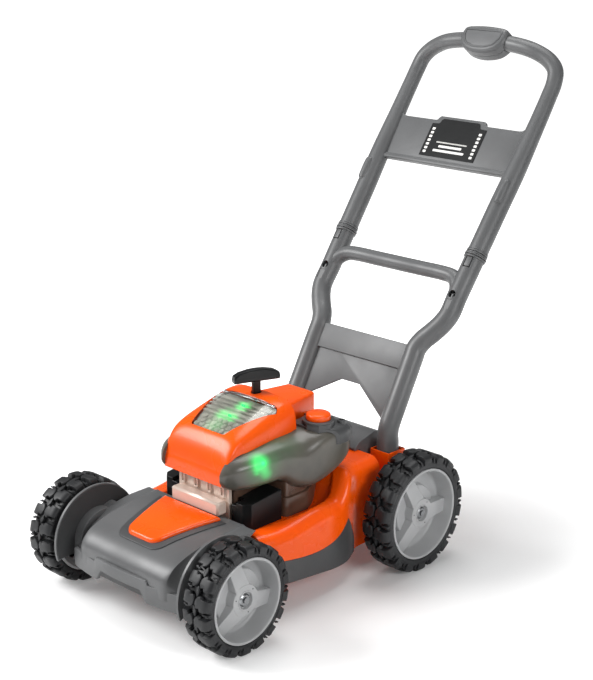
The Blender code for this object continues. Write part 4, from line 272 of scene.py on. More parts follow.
def grown(outline, gap):
    """Outline moved outwards by a gap, whichever way round it runs."""
    turn = sum(a[0] * b[1] - b[0] * a[1] for a, b in zip(outline, outline[1:] + outline[:1]))
    outward = gap if turn > 0.0 else -gap
    moved = []
    for index, corner in enumerate(outline):
        before = (Vector(corner[:2]) - Vector(outline[index - 1][:2])).normalized()
        after = (Vector(outline[(index + 1) % len(outline)][:2]) - Vector(corner[:2])).normalized()
        normal = (Vector((before.y, -before.x)) + Vector((after.y, -after.x))).normalized()
        moved.append(Vector(corner[:2]) + normal * outward / max(0.5, normal.dot(Vector((after.y, -after.x)))))
    return moved


PLAN = Matrix.Identity(4)                                                  # outline (x, y), up
SIDE = Matrix(((0, 0, 1, 0), (1, 0, 0, 0), (0, 1, 0, 0), (0, 0, 0, 1)))    # outline (y, z), towards +X
FRONT = Matrix(((1, 0, 0, 0), (0, 0, -1, 0), (0, 1, 0, 0), (0, 0, 0, 1)))  # outline (x, z), towards -Y


def leaning(origin, lean):
    """Frame in a plane that leans back: outline (x, up the slope), depth towards the front."""
    return Matrix.Translation(origin) @ Matrix.Rotation(-radians(lean), 4, "X") @ FRONT


HANDLE = leaning((0.0, 0.4720, 0.42207), 36.1)
FOOT_Y, FOOT_Z, LEG_LEAN = 0.2950, 0.1620, 29.2
LEG_PLANE = leaning((0.0, FOOT_Y, FOOT_Z), LEG_LEAN)


def prism(outline, low, high, frame_of=PLAN, bevel=0.0, segments=4, ends="high"):
    """Flat outline extruded between two depths, with the rim of either end rounded."""
    bm = bmesh.new()
    face = bm.faces.new([bm.verts.new((corner[0], corner[1], low)) for corner in outline])
    drawn = bmesh.ops.extrude_face_region(bm, geom=[face], use_keep_orig=True)["geom"]
    bmesh.ops.translate(bm, verts=[part for part in drawn if isinstance(part, bmesh.types.BMVert)],
                        vec=(0.0, 0.0, high - low))
    bmesh.ops.recalc_face_normals(bm, faces=bm.faces)
    if bevel > 0.0:
        depths = {"low": (low,), "high": (high,), "both": (low, high)}[ends]
        rim = [edge for edge in bm.edges
               if any(all(abs(corner.co.z - depth) < 1e-7 for corner in edge.verts) for depth in depths)]
        bmesh.ops.bevel(bm, geom=rim, offset=bevel, affect="EDGES", segments=segments, profile=0.5, material=-1,
                        clamp_overlap=True)
    bm.transform(frame_of)
    return bm


def brick(low, high, bevel=0.0):
    """Box between two corners with rounded edges."""
    bm = bmesh.new()
    low, high = Vector(low), Vector(high)
    bmesh.ops.create_cube(bm, size=1.0)
    bmesh.ops.scale(bm, vec=high - low, verts=bm.verts)
    bmesh.ops.translate(bm, vec=(high + low) / 2.0, verts=bm.verts)
    if bevel > 0.0:
        bmesh.ops.bevel(bm, geom=bm.edges, offset=bevel, affect="EDGES", segments=3, profile=0.5, material=-1)
    return bm


def rod(start, end, radius, sides=48, end_radius=None, bevel=0.0):
    """Round bar or cone between two points."""
    start, end = Vector(start), Vector(end)
    bm = bmesh.new()
    bmesh.ops.create_cone(bm, cap_ends=True, segments=sides, radius1=radius,
                          radius2=radius if end_radius is None else end_radius, depth=(end - start).length)
    if bevel > 0.0:
        rim = [edge for edge in bm.edges if abs(edge.verts[0].co.z - edge.verts[1].co.z) < 1e-7]
        bmesh.ops.bevel(bm, geom=rim, offset=bevel, affect="EDGES", segments=3, profile=0.5, material=-1)
    bm.transform(Matrix.Translation((start + end) / 2.0) @ (end - start).to_track_quat("Z", "Y").to_matrix().to_4x4())
    return bm


def post(place, low, high, radius, sides=48, end_radius=None, bevel=0.0):
    """Upright round bar or cone."""
    return rod((*place, low), (*place, high), radius, sides, end_radius, bevel)


def stub(side, start, end, y, z, radius, bevel=0.0):
    """Round bar that runs outwards on one side of the mower."""
    return rod((side * start, y, z), (side * end, y, z), radius, bevel=bevel)


def turned(profile):
    """Closed (radius, height) profile spun round its own Z."""
    bm = bmesh.new()
    ring = [bm.verts.new((radius, 0.0, height)) for radius, height in profile]
    edges = [bm.edges.new(pair) for pair in zip(ring, ring[1:] + ring[:1])]
    bmesh.ops.spin(bm, geom=ring + edges, axis=(0.0, 0.0, 1.0), cent=(0.0, 0.0, 0.0), angle=2.0 * pi, steps=108,
                   use_merge=True)
    bmesh.ops.remove_doubles(bm, verts=bm.verts, dist=1e-6)
    return bm


def skin(rows, closed=True):
    """Sheet of quads laid over rows of points; closed rows are sewn into a tube and its ends filled."""
    across = len(rows[0]) + closed
    bm = bmesh.new()
    bmesh.ops.create_grid(bm, x_segments=across - 1, y_segments=len(rows) - 1, size=1.0)
    for index, vert in enumerate(sorted(bm.verts, key=lambda vert: (round(vert.co.y, 5), vert.co.x))):
        vert.co = rows[index // across][index % across % len(rows[0])]
    bmesh.ops.remove_doubles(bm, verts=bm.verts, dist=1e-6)
    if closed:
        bmesh.ops.holes_fill(bm, edges=[edge for edge in bm.edges if edge.is_boundary], sides=0)
    return bm


def pipe(points, radii, sides=40, steps=6):
    """Round bar of changing radius along a smooth run of points."""
    curve = bpy.data.curves.new("run", "CURVE")
    curve.dimensions = "3D"
    curve.bevel_depth = 1.0
    curve.bevel_resolution = sides // 4 - 1
    curve.use_fill_caps = True
    curve.twist_mode = "MINIMUM"
    stations = flowing([(*point, radius) for point, radius in zip(points, radii)], steps)
    spline = curve.splines.new("POLY")
    spline.points.add(len(stations) - 1)
    for point, station in zip(spline.points, stations):
        point.co = (*station[:3], 1.0)
        point.radius = station[3]
    run = bpy.data.objects.new("run", curve)
    bpy.context.scene.collection.objects.link(run)
    mesh = bpy.data.meshes.new_from_object(run.evaluated_get(bpy.context.evaluated_depsgraph_get()))
    bpy.data.objects.remove(run)
    bm = bmesh.new()
    bm.from_mesh(mesh)
    bmesh.ops.remove_doubles(bm, verts=bm.verts, dist=1e-6)
    bmesh.ops.recalc_face_normals(bm, faces=bm.faces)
    return bm


def sliced(bm, axis, levels):
    """Cut a shape's faces at levels along an axis, so that it can bend there."""
    normal = Vector([float(index == axis) for index in range(3)])
    for place in levels:
        bmesh.ops.bisect_plane(bm, geom=[*bm.verts, *bm.edges, *bm.faces], plane_co=normal * place, plane_no=normal)
    return bm


def lifted(bm, height):
    """Raise each corner by a height that depends on its y."""
    for corner in bm.verts:
        corner.co.z += height(corner.co.y)
    return bm


def as_mesh(bm, name):
    """Mesh data from a bmesh, its faces outwards."""
    bmesh.ops.recalc_face_normals(bm, faces=bm.faces)
    if all(edge.is_manifold for edge in bm.edges) and bm.calc_volume(signed=True) < 0.0:
        bmesh.ops.reverse_faces(bm, faces=bm.faces)
    mesh = bpy.data.meshes.new(name)
    bm.to_mesh(mesh)
    bm.free()
    return mesh


def carved(bm, tools, operation="DIFFERENCE"):
    """A bmesh after other bmeshes are cut from it, or joined to it."""
    work = bpy.data.objects.new("work", as_mesh(bm, "work"))
    bpy.context.scene.collection.objects.link(work)
    helpers = []
    for tool in tools:
        helper = bpy.data.objects.new("tool", as_mesh(tool, "tool"))
        bpy.context.scene.collection.objects.link(helper)
        step = work.modifiers.new("cut", "BOOLEAN")
        step.operation = operation
        step.solver = "EXACT"
        step.object = helper
        helpers.append(helper)
    mesh = bpy.data.meshes.new_from_object(work.evaluated_get(bpy.context.evaluated_depsgraph_get()))
    for old in [work, *helpers]:
        bpy.data.objects.remove(old)
    result = bmesh.new()
    result.from_mesh(mesh)
    bmesh.ops.remove_doubles(result, verts=result.verts, dist=1e-6)
    return result


def together(*shapes):
    """Several bmeshes in one."""
    whole = bmesh.new()
    for shape in shapes:
        mesh = as_mesh(shape, "shape")
        whole.from_mesh(mesh)
        bpy.data.meshes.remove(mesh)
    return whole


def standing(name, shape, material, nodes=(), smooth=38.0, bevel=0.0, segments=2, body="mower"):
    """Finish a shape: set it down in the world, shade it, round its edges and let it ride on its body."""
    mesh = as_mesh(shape, name)
    mesh.transform(Matrix.Translation((0.0, -MID_Y, 0.0)))
    shown(name, mesh, material, body, nodes, smooth, bevel, segments)


def shown(name, mesh, material, body, nodes, smooth, bevel, segments=2):
    """Make the object of a finished mesh that already stands in the world."""
    mesh.materials.clear()
    mesh.materials.append(material)
    for face in mesh.polygons:
        face.material_index = 0
    mesh.shade_smooth()
    mesh.set_sharp_from_angle(angle=radians(smooth))
    piece = bpy.data.objects.new(name, mesh)
    bpy.context.scene.collection.objects.link(piece)
    if bevel > 0.0:
        edge = piece.modifiers.new("edge", "BEVEL")
        edge.width = bevel
        edge.segments = segments
        edge.limit_method = "ANGLE"
        edge.angle_limit = radians(smooth)
        edge.harden_normals = True
    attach(piece, body)
    if nodes:
        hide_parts(*nodes)


def dressed(node, material, bevel):
    """A merged copy of a CAD node with rounded edges and its own finish."""
    bm = bmesh.new()
    bm.from_mesh(frame["nodes"][node].data)
    bmesh.ops.remove_doubles(bm, verts=bm.verts, dist=2e-6)
    bmesh.ops.dissolve_limit(bm, angle_limit=radians(0.6), verts=bm.verts, edges=bm.edges)
    shown(node + "_look", as_mesh(bm, node), material, BODY_OF[node], [node], 38.0, bevel)


# Wheels

TRACK_HALF = 0.126          # centre plane of the mower to that of a wheel
HUB_FACE = 0.0132           # hub's face outside the wheel's centre plane
RIM_HALF = 0.0172           # half width of the rim
DISH_DEEP = 0.0078          # back of the dish, inside the wheel's centre plane
AXLE_R = 0.0034             # hole for the axle
# Side, y of the axle, radius, radius of the rim, and turn of the first spoke in degrees
WHEELS = {"front_left": (1, 0.0, FRONT_R, 0.0462, -16.5), "front_right": (-1, 0.0, FRONT_R, 0.0462, -16.5),
          "rear_left": (1, REAR_Y, REAR_R, 0.0529, -7.0), "rear_right": (-1, REAR_Y, REAR_R, 0.0529, -7.0)}
LUGS = 18
PITCH = 2.0 * pi / LUGS
TREAD_DEEP = 0.0062         # tops of the blocks above the carcass
TREAD_ROOT = 0.0012         # how far a block reaches into the carcass
SHOULDER = 0.0128           # where the tyre starts to round off, from its centre plane
SHOULDER_WIDE = 0.0052      # over this width
SHOULDER_DROP = 0.0034      # and by this much
# Tread in plan, from the centre plane outwards: (share of the pitch, mm across the tyre)
BLOCK = [(0.00, 3.0), (0.16, 1.0), (0.36, 0.9), (0.56, 3.4), (0.50, 7.0), (0.66, 8.8), (0.61, 17.9), (0.06, 17.9),
         (0.04, 8.4), (-0.10, 6.8)]
RIDGE = [(0.46, -1.2), (0.62, -2.2), (0.86, 0.4), (0.84, 2.0), (0.70, 2.2), (0.52, 0.4)]
BAR = [(0.78, 10.2), (0.88, 10.2), (0.86, 17.4), (0.78, 17.4)]
TREAD_ROW = [(BLOCK, 0.0, 0.0005), (BAR, 0.0030, 0.0004), (RIDGE, 0.0018, 0.0004)]   # plan, top's drop, bevel
# Feet of the blocks on the tyre's sides: shares of the pitch, and the face's distance from the centre plane
SIDE_LUGS = [(0.08, 0.59, 0.0180), (0.79, 0.86, 0.0177)]


def wheel_frame(side, y, radius):
    """Frame on a wheel's centre: Z out of the mower, X to its rear and Y up."""
    return Matrix(((0, 0, side, side * TRACK_HALF), (1, 0, 0, y), (0, 1, 0, radius), (0, 0, 0, 1)))


def wrapped(outline, top_drop, radius, turn, flip, bevel):
    """Tread block drawn flat, raised from the carcass and bent round the tyre with its shoulder dropped."""
    pitch = PITCH * radius
    bm = prism([(share * pitch, across / 1000.0) for share, across in outline], -TREAD_DEEP - TREAD_ROOT,
               -top_drop, bevel=bevel, segments=2)
    sliced(bm, 1, (0.0040, 0.0080, 0.0120, 0.0150, 0.0165))
    sliced(bm, 0, [share * pitch for share in (0.15, 0.35, 0.55)])
    for corner in bm.verts:
        along, across, height = corner.co
        drop = SHOULDER_DROP * max(0.0, (across - SHOULDER) / SHOULDER_WIDE) ** 2
        reach = radius + height - drop
        angle = turn + (-along if flip else along) / radius
        corner.co = (reach * cos(angle), reach * sin(angle), -across if flip else across)
    return bm


def side_lug(first, last, face, rim, radius, turn, sign):
    """Foot of a tread block on the tyre's side, bent round the tyre."""
    low, high = (rim + radius) / 2.0, radius - 0.0036
    lug = prism([(low, first * PITCH * low), (low, last * PITCH * low), (high, last * PITCH * radius),
                 (high, first * PITCH * radius)], 0.0140, face, bevel=0.0005, segments=2)
    for corner in lug.verts:
        reach, along, out = corner.co
        angle = turn + sign * along / reach
        corner.co = (reach * cos(angle), reach * sin(angle), sign * out)
    return lug


def make_tyre(place):
    """Blown tyre: a round carcass with two staggered rows of blocks, low bars and a zigzag centre ridge."""
    side, y, radius, rim = WHEELS[place][:4]
    base = radius - TREAD_DEEP
    half = rounded([(rim, 0.0, 0.0), (rim, 0.0160, 0.0006), (rim + 0.0016, RIM_HALF, 0.0010),
                    (radius - 0.0105, 0.0176, 0.004), (radius - 0.0068, 0.0160, 0.003), (base, 0.0120, 0.004),
                    (base, 0.0, 0.0)], 4, closed=False)
    shapes = [turned(half + [(corner[0], -corner[1]) for corner in reversed(half[1:-1])])]
    for count in range(LUGS):
        for flip in (False, True):
            turn = PITCH * (count + 0.5 * flip)
            shapes += [wrapped(outline, drop, radius, turn, flip, bevel) for outline, drop, bevel in TREAD_ROW]
            shapes += [side_lug(*lug, rim, radius, turn, -1.0 if flip else 1.0) for lug in SIDE_LUGS]
    tyre = together(*shapes)
    tyre.transform(wheel_frame(side, y, radius))
    standing("tread_" + place, tyre, TREAD, ["tyre_" + place], 40.0, body=place + "_wheel")


def make_rim(place):
    """Dished rim: bright lip, deep cone, raised middle, hub with its ring and dark discs painted as the shade in its
    three holes, and three flush spokes.
    """
    side, y, radius, rim, lean = WHEELS[place]
    profile = rounded([(rim, -RIM_HALF, 0.0005), (rim, RIM_HALF, 0.0006), (rim - 0.0026, RIM_HALF, 0.0008),
                       (rim - 0.0032, 0.0150, 0.0008), (rim - 0.0062, -0.0044, 0.0030), (0.0312, -0.0048, 0.0014),
                       (0.0302, 0.0022, 0.0012), (0.0176, 0.0022, 0.0010), (0.0170, HUB_FACE, 0.0009),
                       (0.0106, HUB_FACE, 0.0003), (0.0104, 0.0140, 0.0004), (0.0092, 0.0140, 0.0004),
                       (0.0088, 0.0102, 0.0004), (AXLE_R, 0.0102, 0.0), (AXLE_R, -RIM_HALF, 0.0),
                       (0.0090, -RIM_HALF, 0.0008), (0.0096, -0.0008, 0.0012), (0.0272, -0.0008, 0.0010),
                       (0.0284, -DISH_DEEP, 0.0012), (rim - 0.0086, -DISH_DEEP, 0.0020),
                       (rim - 0.0028, -RIM_HALF, 0.0005)], 4)
    shapes, marks = [turned(profile)], []
    tip, hole_shade_r = rim - 0.0036, 0.0139
    for count in range(3):
        spoke = prism([(0.0120, 0.0100), (0.0120, -0.0100), (0.0180, -0.0094), (tip, -0.0080), (tip, 0.0080),
                       (0.0180, 0.0094)], -DISH_DEEP, HUB_FACE - 0.0004, bevel=0.0008, segments=3)
        for corner in spoke.verts:
            if corner.co.z > 0.0:
                corner.co.z -= 0.0070 * max(0.0, corner.co.x - 0.0170) / (tip - 0.0170)
        spoke.transform(Matrix.Rotation(radians(lean + 120.0 * count), 4, "Z"))
        shapes.append(spoke)
        turn = radians(lean + 60.0 + 120.0 * count)
        # Dark disc flush with the hub's face: painted shade in one of its three small holes
        marks.append(post((hole_shade_r * cos(turn), hole_shade_r * sin(turn)), 0.0120, HUB_FACE + 0.0001, 0.0008, 20))
    for name, parts, finish, nodes, smooth in (("dish_", shapes, RIM, ["rim_" + place], 32.0),
                                               ("hub_hole_shade_", marks, DARK, [], 38.0)):
        bm = together(*parts)
        bm.transform(wheel_frame(side, y, radius))
        standing(name + place, bm, finish, nodes, smooth, body=place + "_wheel")


for place in WHEELS:
    make_tyre(place)
    make_rim(place)


# Deck

DECK_PLAN = [(0.0648, 0.0980), (0.0850, 0.1030), (0.1080, 0.1050), (0.1400, 0.1053), (0.1680, 0.1050),
             (0.1950, 0.1005), (0.2130, 0.0925), (0.2240, 0.0894), (0.2400, 0.0890), (0.2700, 0.0890),
             (0.3090, 0.0890)]       # y and half width
DECK_TOP = 0.1010
WELL_FLOOR = 0.0880
WELL_R = 0.0895             # round part of the engine well, about WELL_Y and behind WELL_JOIN
WELL_Y = 0.148
WELL_JOIN = 0.104           # in front of it the well's sides run nearly straight
BLOCK_TOP = 0.1270
BULGE = 0.0150              # roll of the deck's upper edge
DECK_ACROSS = 54            # steps from the roll to the middle
SKIRT_CREST = [(0.0740, 0.0640), (0.0980, 0.0595), (0.1350, 0.0555), (0.1630, 0.0580), (0.1830, 0.0655),
               (0.1960, 0.0765)]
SKIRT_TAIL = [(0.1960, 0.0765), (0.2060, 0.0630), (0.2130, 0.0500), (0.2155, 0.0400), (0.2155, 0.0270)]
SKIRT_FOOT = [(0.2155, 0.0270), (0.1850, 0.0250), (0.1400, 0.0290), (0.0740, 0.0350)]
SKIRT_THICK = 0.0032
# Lower edge of the deck behind the skirts: y and z
DECK_FOOT = [(0.0648, 0.0385), (0.0740, 0.0375), (0.1400, 0.0320), (0.1850, 0.0300), (0.3090, 0.0300)]


def level(stations, position):
    """Value at a position along stations, between the two nearest."""
    for (first, low), (last, high) in zip(stations, stations[1:]):
        if position <= last:
            return low + (high - low) * max(0.0, position - first) / (last - first)
    return stations[-1][1]


DECK_FLOW = [(point.x, point.y) for point in flowing(DECK_PLAN, 6)]


def eased(share):
    """Smooth step from 0 to 1."""
    share = max(0.0, min(1.0, share))
    return share * share * (3.0 - 2.0 * share)


def deck_height(x, y):
    """Height of the deck's top: rim, engine well, and the bowl that rises to the rear block."""
    x = abs(x)
    if y > WELL_JOIN:
        ring = WELL_R - Vector((x, y - WELL_Y)).length
    else:
        ring = 0.0720 + 0.0055 * (y - 0.060) / 0.044 - x
    wall = eased((ring + 0.0006) / 0.0038)
    rim = DECK_TOP - 0.0085 * (1.0 - eased((y - 0.085) / 0.075))
    low = rim - (rim - WELL_FLOOR) * wall
    bowl = eased((Vector((x, y - 0.126)).length - 0.064) / 0.026) * eased((y - 0.178) / 0.030)
    rear = 1.0 - eased((y - 0.2605) / 0.0025)
    return low + (BLOCK_TOP - low) * bowl * rear


def deck_row(y, inset, drop):
    """One cross-section of the deck, drawn in by its wall for the hollow under it."""
    half, foot = level(DECK_FLOW, y) - inset, level(DECK_FOOT, y)
    roll = max(0.004, BULGE - inset)
    edge = deck_height(half + inset - BULGE, y) - drop
    side = [(half, foot), (half, foot + 0.4 * (edge - roll - foot)), (half, edge - roll)]
    for step in range(1, 9):
        turn = pi / 2.0 * step / 8
        side.append((half - roll + roll * cos(turn), edge - roll + roll * sin(turn)))
    inner = half - roll
    for step in range(1, DECK_ACROSS):
        x = inner * (1.0 - step / DECK_ACROSS)
        side.append((x, deck_height(x, y) - drop))
    half_row = [Vector((x, y, z)) for x, z in side]
    return half_row + [Vector((0.0, y, deck_height(0.0, y) - drop))] + [
        Vector((-point.x, point.y, point.z)) for point in reversed(half_row)]


def skirt(side, low, high, margin=0.0):
    """Side skirt that follows the deck's plan, between two depths from its face."""
    edge = flowing(SKIRT_CREST, 5) + flowing(SKIRT_TAIL, 4)[1:] + flowing(SKIRT_FOOT, 4)[1:]
    bm = prism(grown([(point.x, point.y) for point in edge], margin), low, high, SIDE)
    sliced(bm, 1, [0.074 + 0.005 * step for step in range(1, 29)])
    for corner in bm.verts:
        corner.co.x = side * (corner.co.x + level(DECK_FLOW, corner.co.y))
    return bm


def base_plan(margin):
    """Plan of the engine casing that stands in the well."""
    return grown(rounded(mirrored([(0.0400, 0.0800, 0.004), (0.0400, 0.1285, 0.0), (0.0660, 0.1325, 0.004),
                                   (0.0660, 0.1620, 0.015), (0.0470, 0.1985, 0.012)]), 5), margin)


def make_deck():
    """Orange deck: rolled edges, engine well, bowl and rear block, hollow below, sockets for the handle."""
    places = [0.0648 + 0.0016 * step for step in range(120)]
    places += [0.2568, 0.2592, 0.2605, 0.2612, 0.2618, 0.2624, 0.2630, 0.2680, 0.2780, 0.2900, 0.3090]
    deck = skin([deck_row(y, 0.0, 0.0) + list(reversed(deck_row(y, 0.0065, 0.0030))) for y in places])
    deck = carved(deck, [skirt(side, -SKIRT_THICK - GAP, 0.010, GAP) for side in SIDES])
    shapes = [deck, skin([deck_row(y, 0.0, 0.0) for y in (0.3025, 0.3040, 0.3090)])]
    for side in SIDES:
        middle = side * LEG_HALF
        socket = oblong(middle - 0.0145, middle + 0.0145, 0.2745, 0.3035, 0.002)
        shapes.append(carved(prism(socket, 0.0850, BLOCK_TOP, bevel=0.0005, segments=2),
                             [prism(grown(socket, -0.0016), 0.0900, 0.1300)]))
        shapes.append(stub(side, 0.080, AXLE_BOSS_X, REAR_Y, REAR_R, AXLE_BOSS_R, 0.0006))
    standing("deck_look", together(*shapes), ORANGE, ["deck_shell"], 34.0)
    # Deck's tongue under the nose in dark grey, not orange: painted shade behind the bumper's slots, where the gap
    # under the cover is dark
    tongue = prism([(-0.0355, 0.0360), (-0.0355, 0.0540), (-0.0100, 0.0740), (0.0750, 0.0820), (0.0750, 0.0360)],
                   -0.0849, 0.0849, SIDE, bevel=0.0008, ends="both")
    hollow = prism([(-0.0315, 0.0300), (-0.0315, 0.0520), (-0.0080, 0.0700), (0.0800, 0.0780), (0.0800, 0.0300)],
                   -0.0809, 0.0809, SIDE)
    standing("nose_tongue_shade", carved(tongue, [hollow]), DARK)
    for side, name in zip(SIDES, ("left", "right")):
        standing("skirt_" + name, skirt(side, -SKIRT_THICK, 0.0), DARK, ["side_skirt_" + name], 34.0, 0.0005)


# Front cover

COVER_CENTRE = [(-0.0460, 0.0500), (-0.0460, 0.0660), (-0.0425, 0.0750), (-0.0340, 0.0830), (-0.0200, 0.0890),
                (0.0000, 0.0940), (0.0300, 0.0980), (0.0645, 0.1005)]
COVER_SIDE = [(-0.0385, 0.0480), (-0.0370, 0.0620), (-0.0320, 0.0690), (-0.0235, 0.0785), (-0.0120, 0.0865),
              (0.0040, 0.0945), (0.0320, 0.1010), (0.0645, 0.1020)]
FENDER_R = 0.0568
FENDER_EDGE = 0.1008
ARCH_FOOT = 0.0462          # level lower end of the wheel arches


def cover_row(centre, side):
    """One row of the cover: flat plateau, crease, slope to the body's edge, hollow and the arch's flange."""
    centre_y, centre_z, side_y, side_z = centre.x, centre.y, side.x, side.y
    flat = [Vector((0.0660 * step / 10, centre_y, centre_z)) for step in range(11)]
    edge = Vector((0.0860, side_y + 0.0025, side_z - 0.0035))
    crease = Vector((0.0690, centre_y + (edge.y - centre_y) * 0.12, centre_z + 0.0005))
    slope = Vector((0.0735, crease.y + (edge.y - crease.y) * 0.45, crease.z + (edge.z - crease.z) * 0.80 - 0.0015))
    half = flat + [crease]
    for step in range(1, 9):
        t = step / 8
        half.append(crease * (1 - t) ** 2 + slope * 2 * t * (1 - t) + edge * t * t)
    spoke = Vector((side_y, side_z - FRONT_R)).normalized()
    deep = min(0.0400, Vector((edge.y, edge.z - FRONT_R)).length - 0.0040)
    for x, reach in ((0.0876, deep), (0.0974, deep), (0.0976, FENDER_R), (FENDER_EDGE, FENDER_R)):
        half.append(Vector((x, spoke.x * reach, FRONT_R + spoke.y * reach)))
    return [Vector((-point.x, point.y, point.z)) for point in reversed(half[1:])] + half


COVER_FLOW = [(point.x, point.y) for point in flowing(COVER_CENTRE[1:], 6)]


def cover_height(y):
    """Height of the cover on its centre line."""
    return level(COVER_FLOW, y)


def draped(outline, low, high, bevel):
    """Plan outline laid on the cover, between two heights above it."""
    bm = prism(outline, low, high, bevel=bevel, segments=3)
    return lifted(sliced(bm, 1, [-0.034 + 0.0023 * step for step in range(1, 40)]), cover_height)


def badge_plan(margin):
    """Shield of the badge."""
    return rounded(mirrored([(0.0235 + margin, -0.0200 - 0.7 * margin, 0.014), (0.0445 + margin, 0.0545, 0.0)]), 8)


def arch_plan(radius):
    """Side outline of the wall behind a front wheel, cut off level below the axle."""
    outline = [(y, max(ARCH_FOOT, z)) for y, z in oval(0.0, FRONT_R, radius, sides=72)]
    neighbours = zip(outline[-1:] + outline[:-1], outline, outline[1:] + outline[:1])
    return [corner for before, corner, after in neighbours
            if not before[1] == corner[1] == after[1] == ARCH_FOOT]


def make_cover():
    """Grey nose: one sheet from arch to arch, wheel walls behind it, bumper strip and the badge in its tray."""
    rows = [cover_row(centre, side) for centre, side in zip(flowing(COVER_CENTRE, 5), flowing(COVER_SIDE, 5))]
    sheet = skin(rows, closed=False)
    bmesh.ops.recalc_face_normals(sheet, faces=sheet.faces)
    if sum(face.normal.z * face.calc_area() for face in sheet.faces) < 0.0:
        bmesh.ops.reverse_faces(sheet, faces=sheet.faces)
    bmesh.ops.solidify(sheet, geom=list(sheet.faces), thickness=0.0026)
    shapes, shade_sheets = [sheet], []
    for side in SIDES:
        shapes.append(prism(arch_plan(FENDER_R * 0.985), *sorted((side * 0.0978, side * 0.1004)), SIDE,
                            bevel=0.0006, ends="both"))
        # Dark sheet inside each flange: painted shade in the wheel arch
        shade_sheets.append(prism(arch_plan(FENDER_R - 0.0014), *sorted((side * 0.0966, side * 0.0972)), SIDE))
        shapes.append(stub(side, 0.085, 0.0990, 0.0, FRONT_R, 0.0320))
        shapes.append(stub(side, 0.099, AXLE_BOSS_X, 0.0, FRONT_R, AXLE_BOSS_R, 0.0006))
    shapes.append(prism([(-0.083, 0.078), (0.083, 0.078), (0.083, 0.0950), (0.069, 0.0985), (-0.069, 0.0985),
                         (-0.083, 0.0950)], -0.0625, -0.0600, FRONT))
    standing("cover_look", together(*shapes), GREY, ["front_cover"], 34.0, 0.0004)
    standing("arch_shade_sheets", together(*shade_sheets), ARCH_SHADE)

    half = [(0.0320, 0.0520, 0.003), (0.0400, 0.0390, 0.003), (0.0860, 0.0390, 0.002), (0.0860, 0.0600, 0.002),
            (0.0430, 0.0600, 0.0012), (0.0410, 0.0650, 0.002)]
    strip = prism(rounded(mirrored(half), 4), 0.0462, 0.0502, FRONT, bevel=0.0006, segments=3)
    sliced(strip, 0, [-0.085 + 0.005 * step for step in range(1, 34)])
    for corner in strip.verts:
        corner.co.y += 0.0090 * (corner.co.x / 0.0860) ** 2
    standing("bumper_look", strip, GREY, ["front_bumper"], 34.0)
    standing("badge_tray_look", draped(badge_plan(0.0085), 0.0003, 0.0013, 0.0004), DARK, ["badge_tray"], 34.0)
    standing("badge_look", draped(badge_plan(0.0), 0.0014, 0.0056, 0.0030), ORANGE, ["badge_insert"], 34.0)


# Engine

HOOD_ARCHES = [(0.0444, 0.0556, 0.1394, 0.0556, 0.1402), (0.0470, 0.0590, 0.1545, 0.0620, 0.1640),
               (0.0488, 0.0670, 0.1655, 0.0700, 0.1790), (0.0500, 0.0780, 0.1705, 0.0810, 0.1885),
               (0.0515, 0.1020, 0.1712, 0.1040, 0.1975), (0.0520, 0.1440, 0.1712, 0.1440, 0.2095),
               (0.0520, 0.1630, 0.1712, 0.1610, 0.2110)]     # foot half width, y, z, then crown y, z
HOOD_ROUND = 4.4            # higher is squarer
HOOD_WALL = 0.0024
SHROUD_WALL = 0.0022
HOOD_FEET = 0.0008          # how far the hood's sides reach down past its stations
CROWN = (0.175, 0.231)      # heights below and above the hood's crown, for what is cut through it
STARTER_Y = 0.1525
TANK = (0.062, 0.187)       # middle of the fuel cap
SHROUD_STATIONS = [(0.0530, 0.0470, 0.1560, 0.1430), (0.0580, 0.0535, 0.1640, 0.1360),
                   (0.0700, 0.0615, 0.1710, 0.1310), (0.0950, 0.0690, 0.1750, 0.1300),
                   (0.1240, 0.0745, 0.1780, 0.1300), (0.1400, 0.0785, 0.1790, 0.1190),
                   (0.1600, 0.0825, 0.1795, 0.1125), (0.1820, 0.0850, 0.1795, 0.1175),
                   (0.2030, 0.0855, 0.1790, 0.1280), (0.2160, 0.0820, 0.1770, 0.1360),
                   (0.2210, 0.0770, 0.1730, 0.1440)]         # y, half width, top, low


def hood_form(grow, drop):
    """Hood as a closed form, grown by a gap or drawn in by a wall, with its feet let down."""
    arches = flowing(HOOD_ARCHES, 5)
    rows = []
    for index, (half, foot_y, foot_z, crown_y, crown_z) in enumerate(arches):
        before, after = arches[max(0, index - 1)], arches[min(len(arches) - 1, index + 1)]
        along = Vector((after[3] - before[3], after[4] - before[4])).normalized()
        shift = Vector((-along.y, along.x)) * grow
        if index == len(arches) - 1:
            shift.x += grow
        row = []
        for step in range(65):
            turn = pi * step / 64
            across = copysign(abs(cos(turn)) ** (2.0 / HOOD_ROUND), cos(turn))
            rise = max(0.0, sin(turn)) ** (2.0 / HOOD_ROUND)
            row.append(Vector((across * (half + grow), foot_y + (crown_y - foot_y) * rise + shift.x,
                               foot_z + (crown_z - foot_z) * rise + shift.y - drop * (1.0 - rise))))
        rows.append(row)
    return skin(rows)


def shroud_form(grow):
    """Shroud as a closed form, grown by a gap or drawn in by its wall."""
    stations = flowing(SHROUD_STATIONS, 4)
    rows = []
    for index, (y, half, top, low) in enumerate(stations):
        y += grow * ((index == len(stations) - 1) - (index == 0))
        row = []
        for step in range(64):
            turn = 2.0 * pi * (step + 0.5) / 64
            power = 2.0 / (3.0 + 4.5 * eased((y - 0.150) / 0.040) if sin(turn) > 0.0 else 5.0)
            row.append(Vector((copysign(abs(cos(turn)) ** power, cos(turn)) * (half + grow), y, (top + low) / 2.0
                               + copysign(abs(sin(turn)) ** power, sin(turn)) * ((top - low) / 2.0 + grow))))
        rows.append(row)
    return skin(rows)


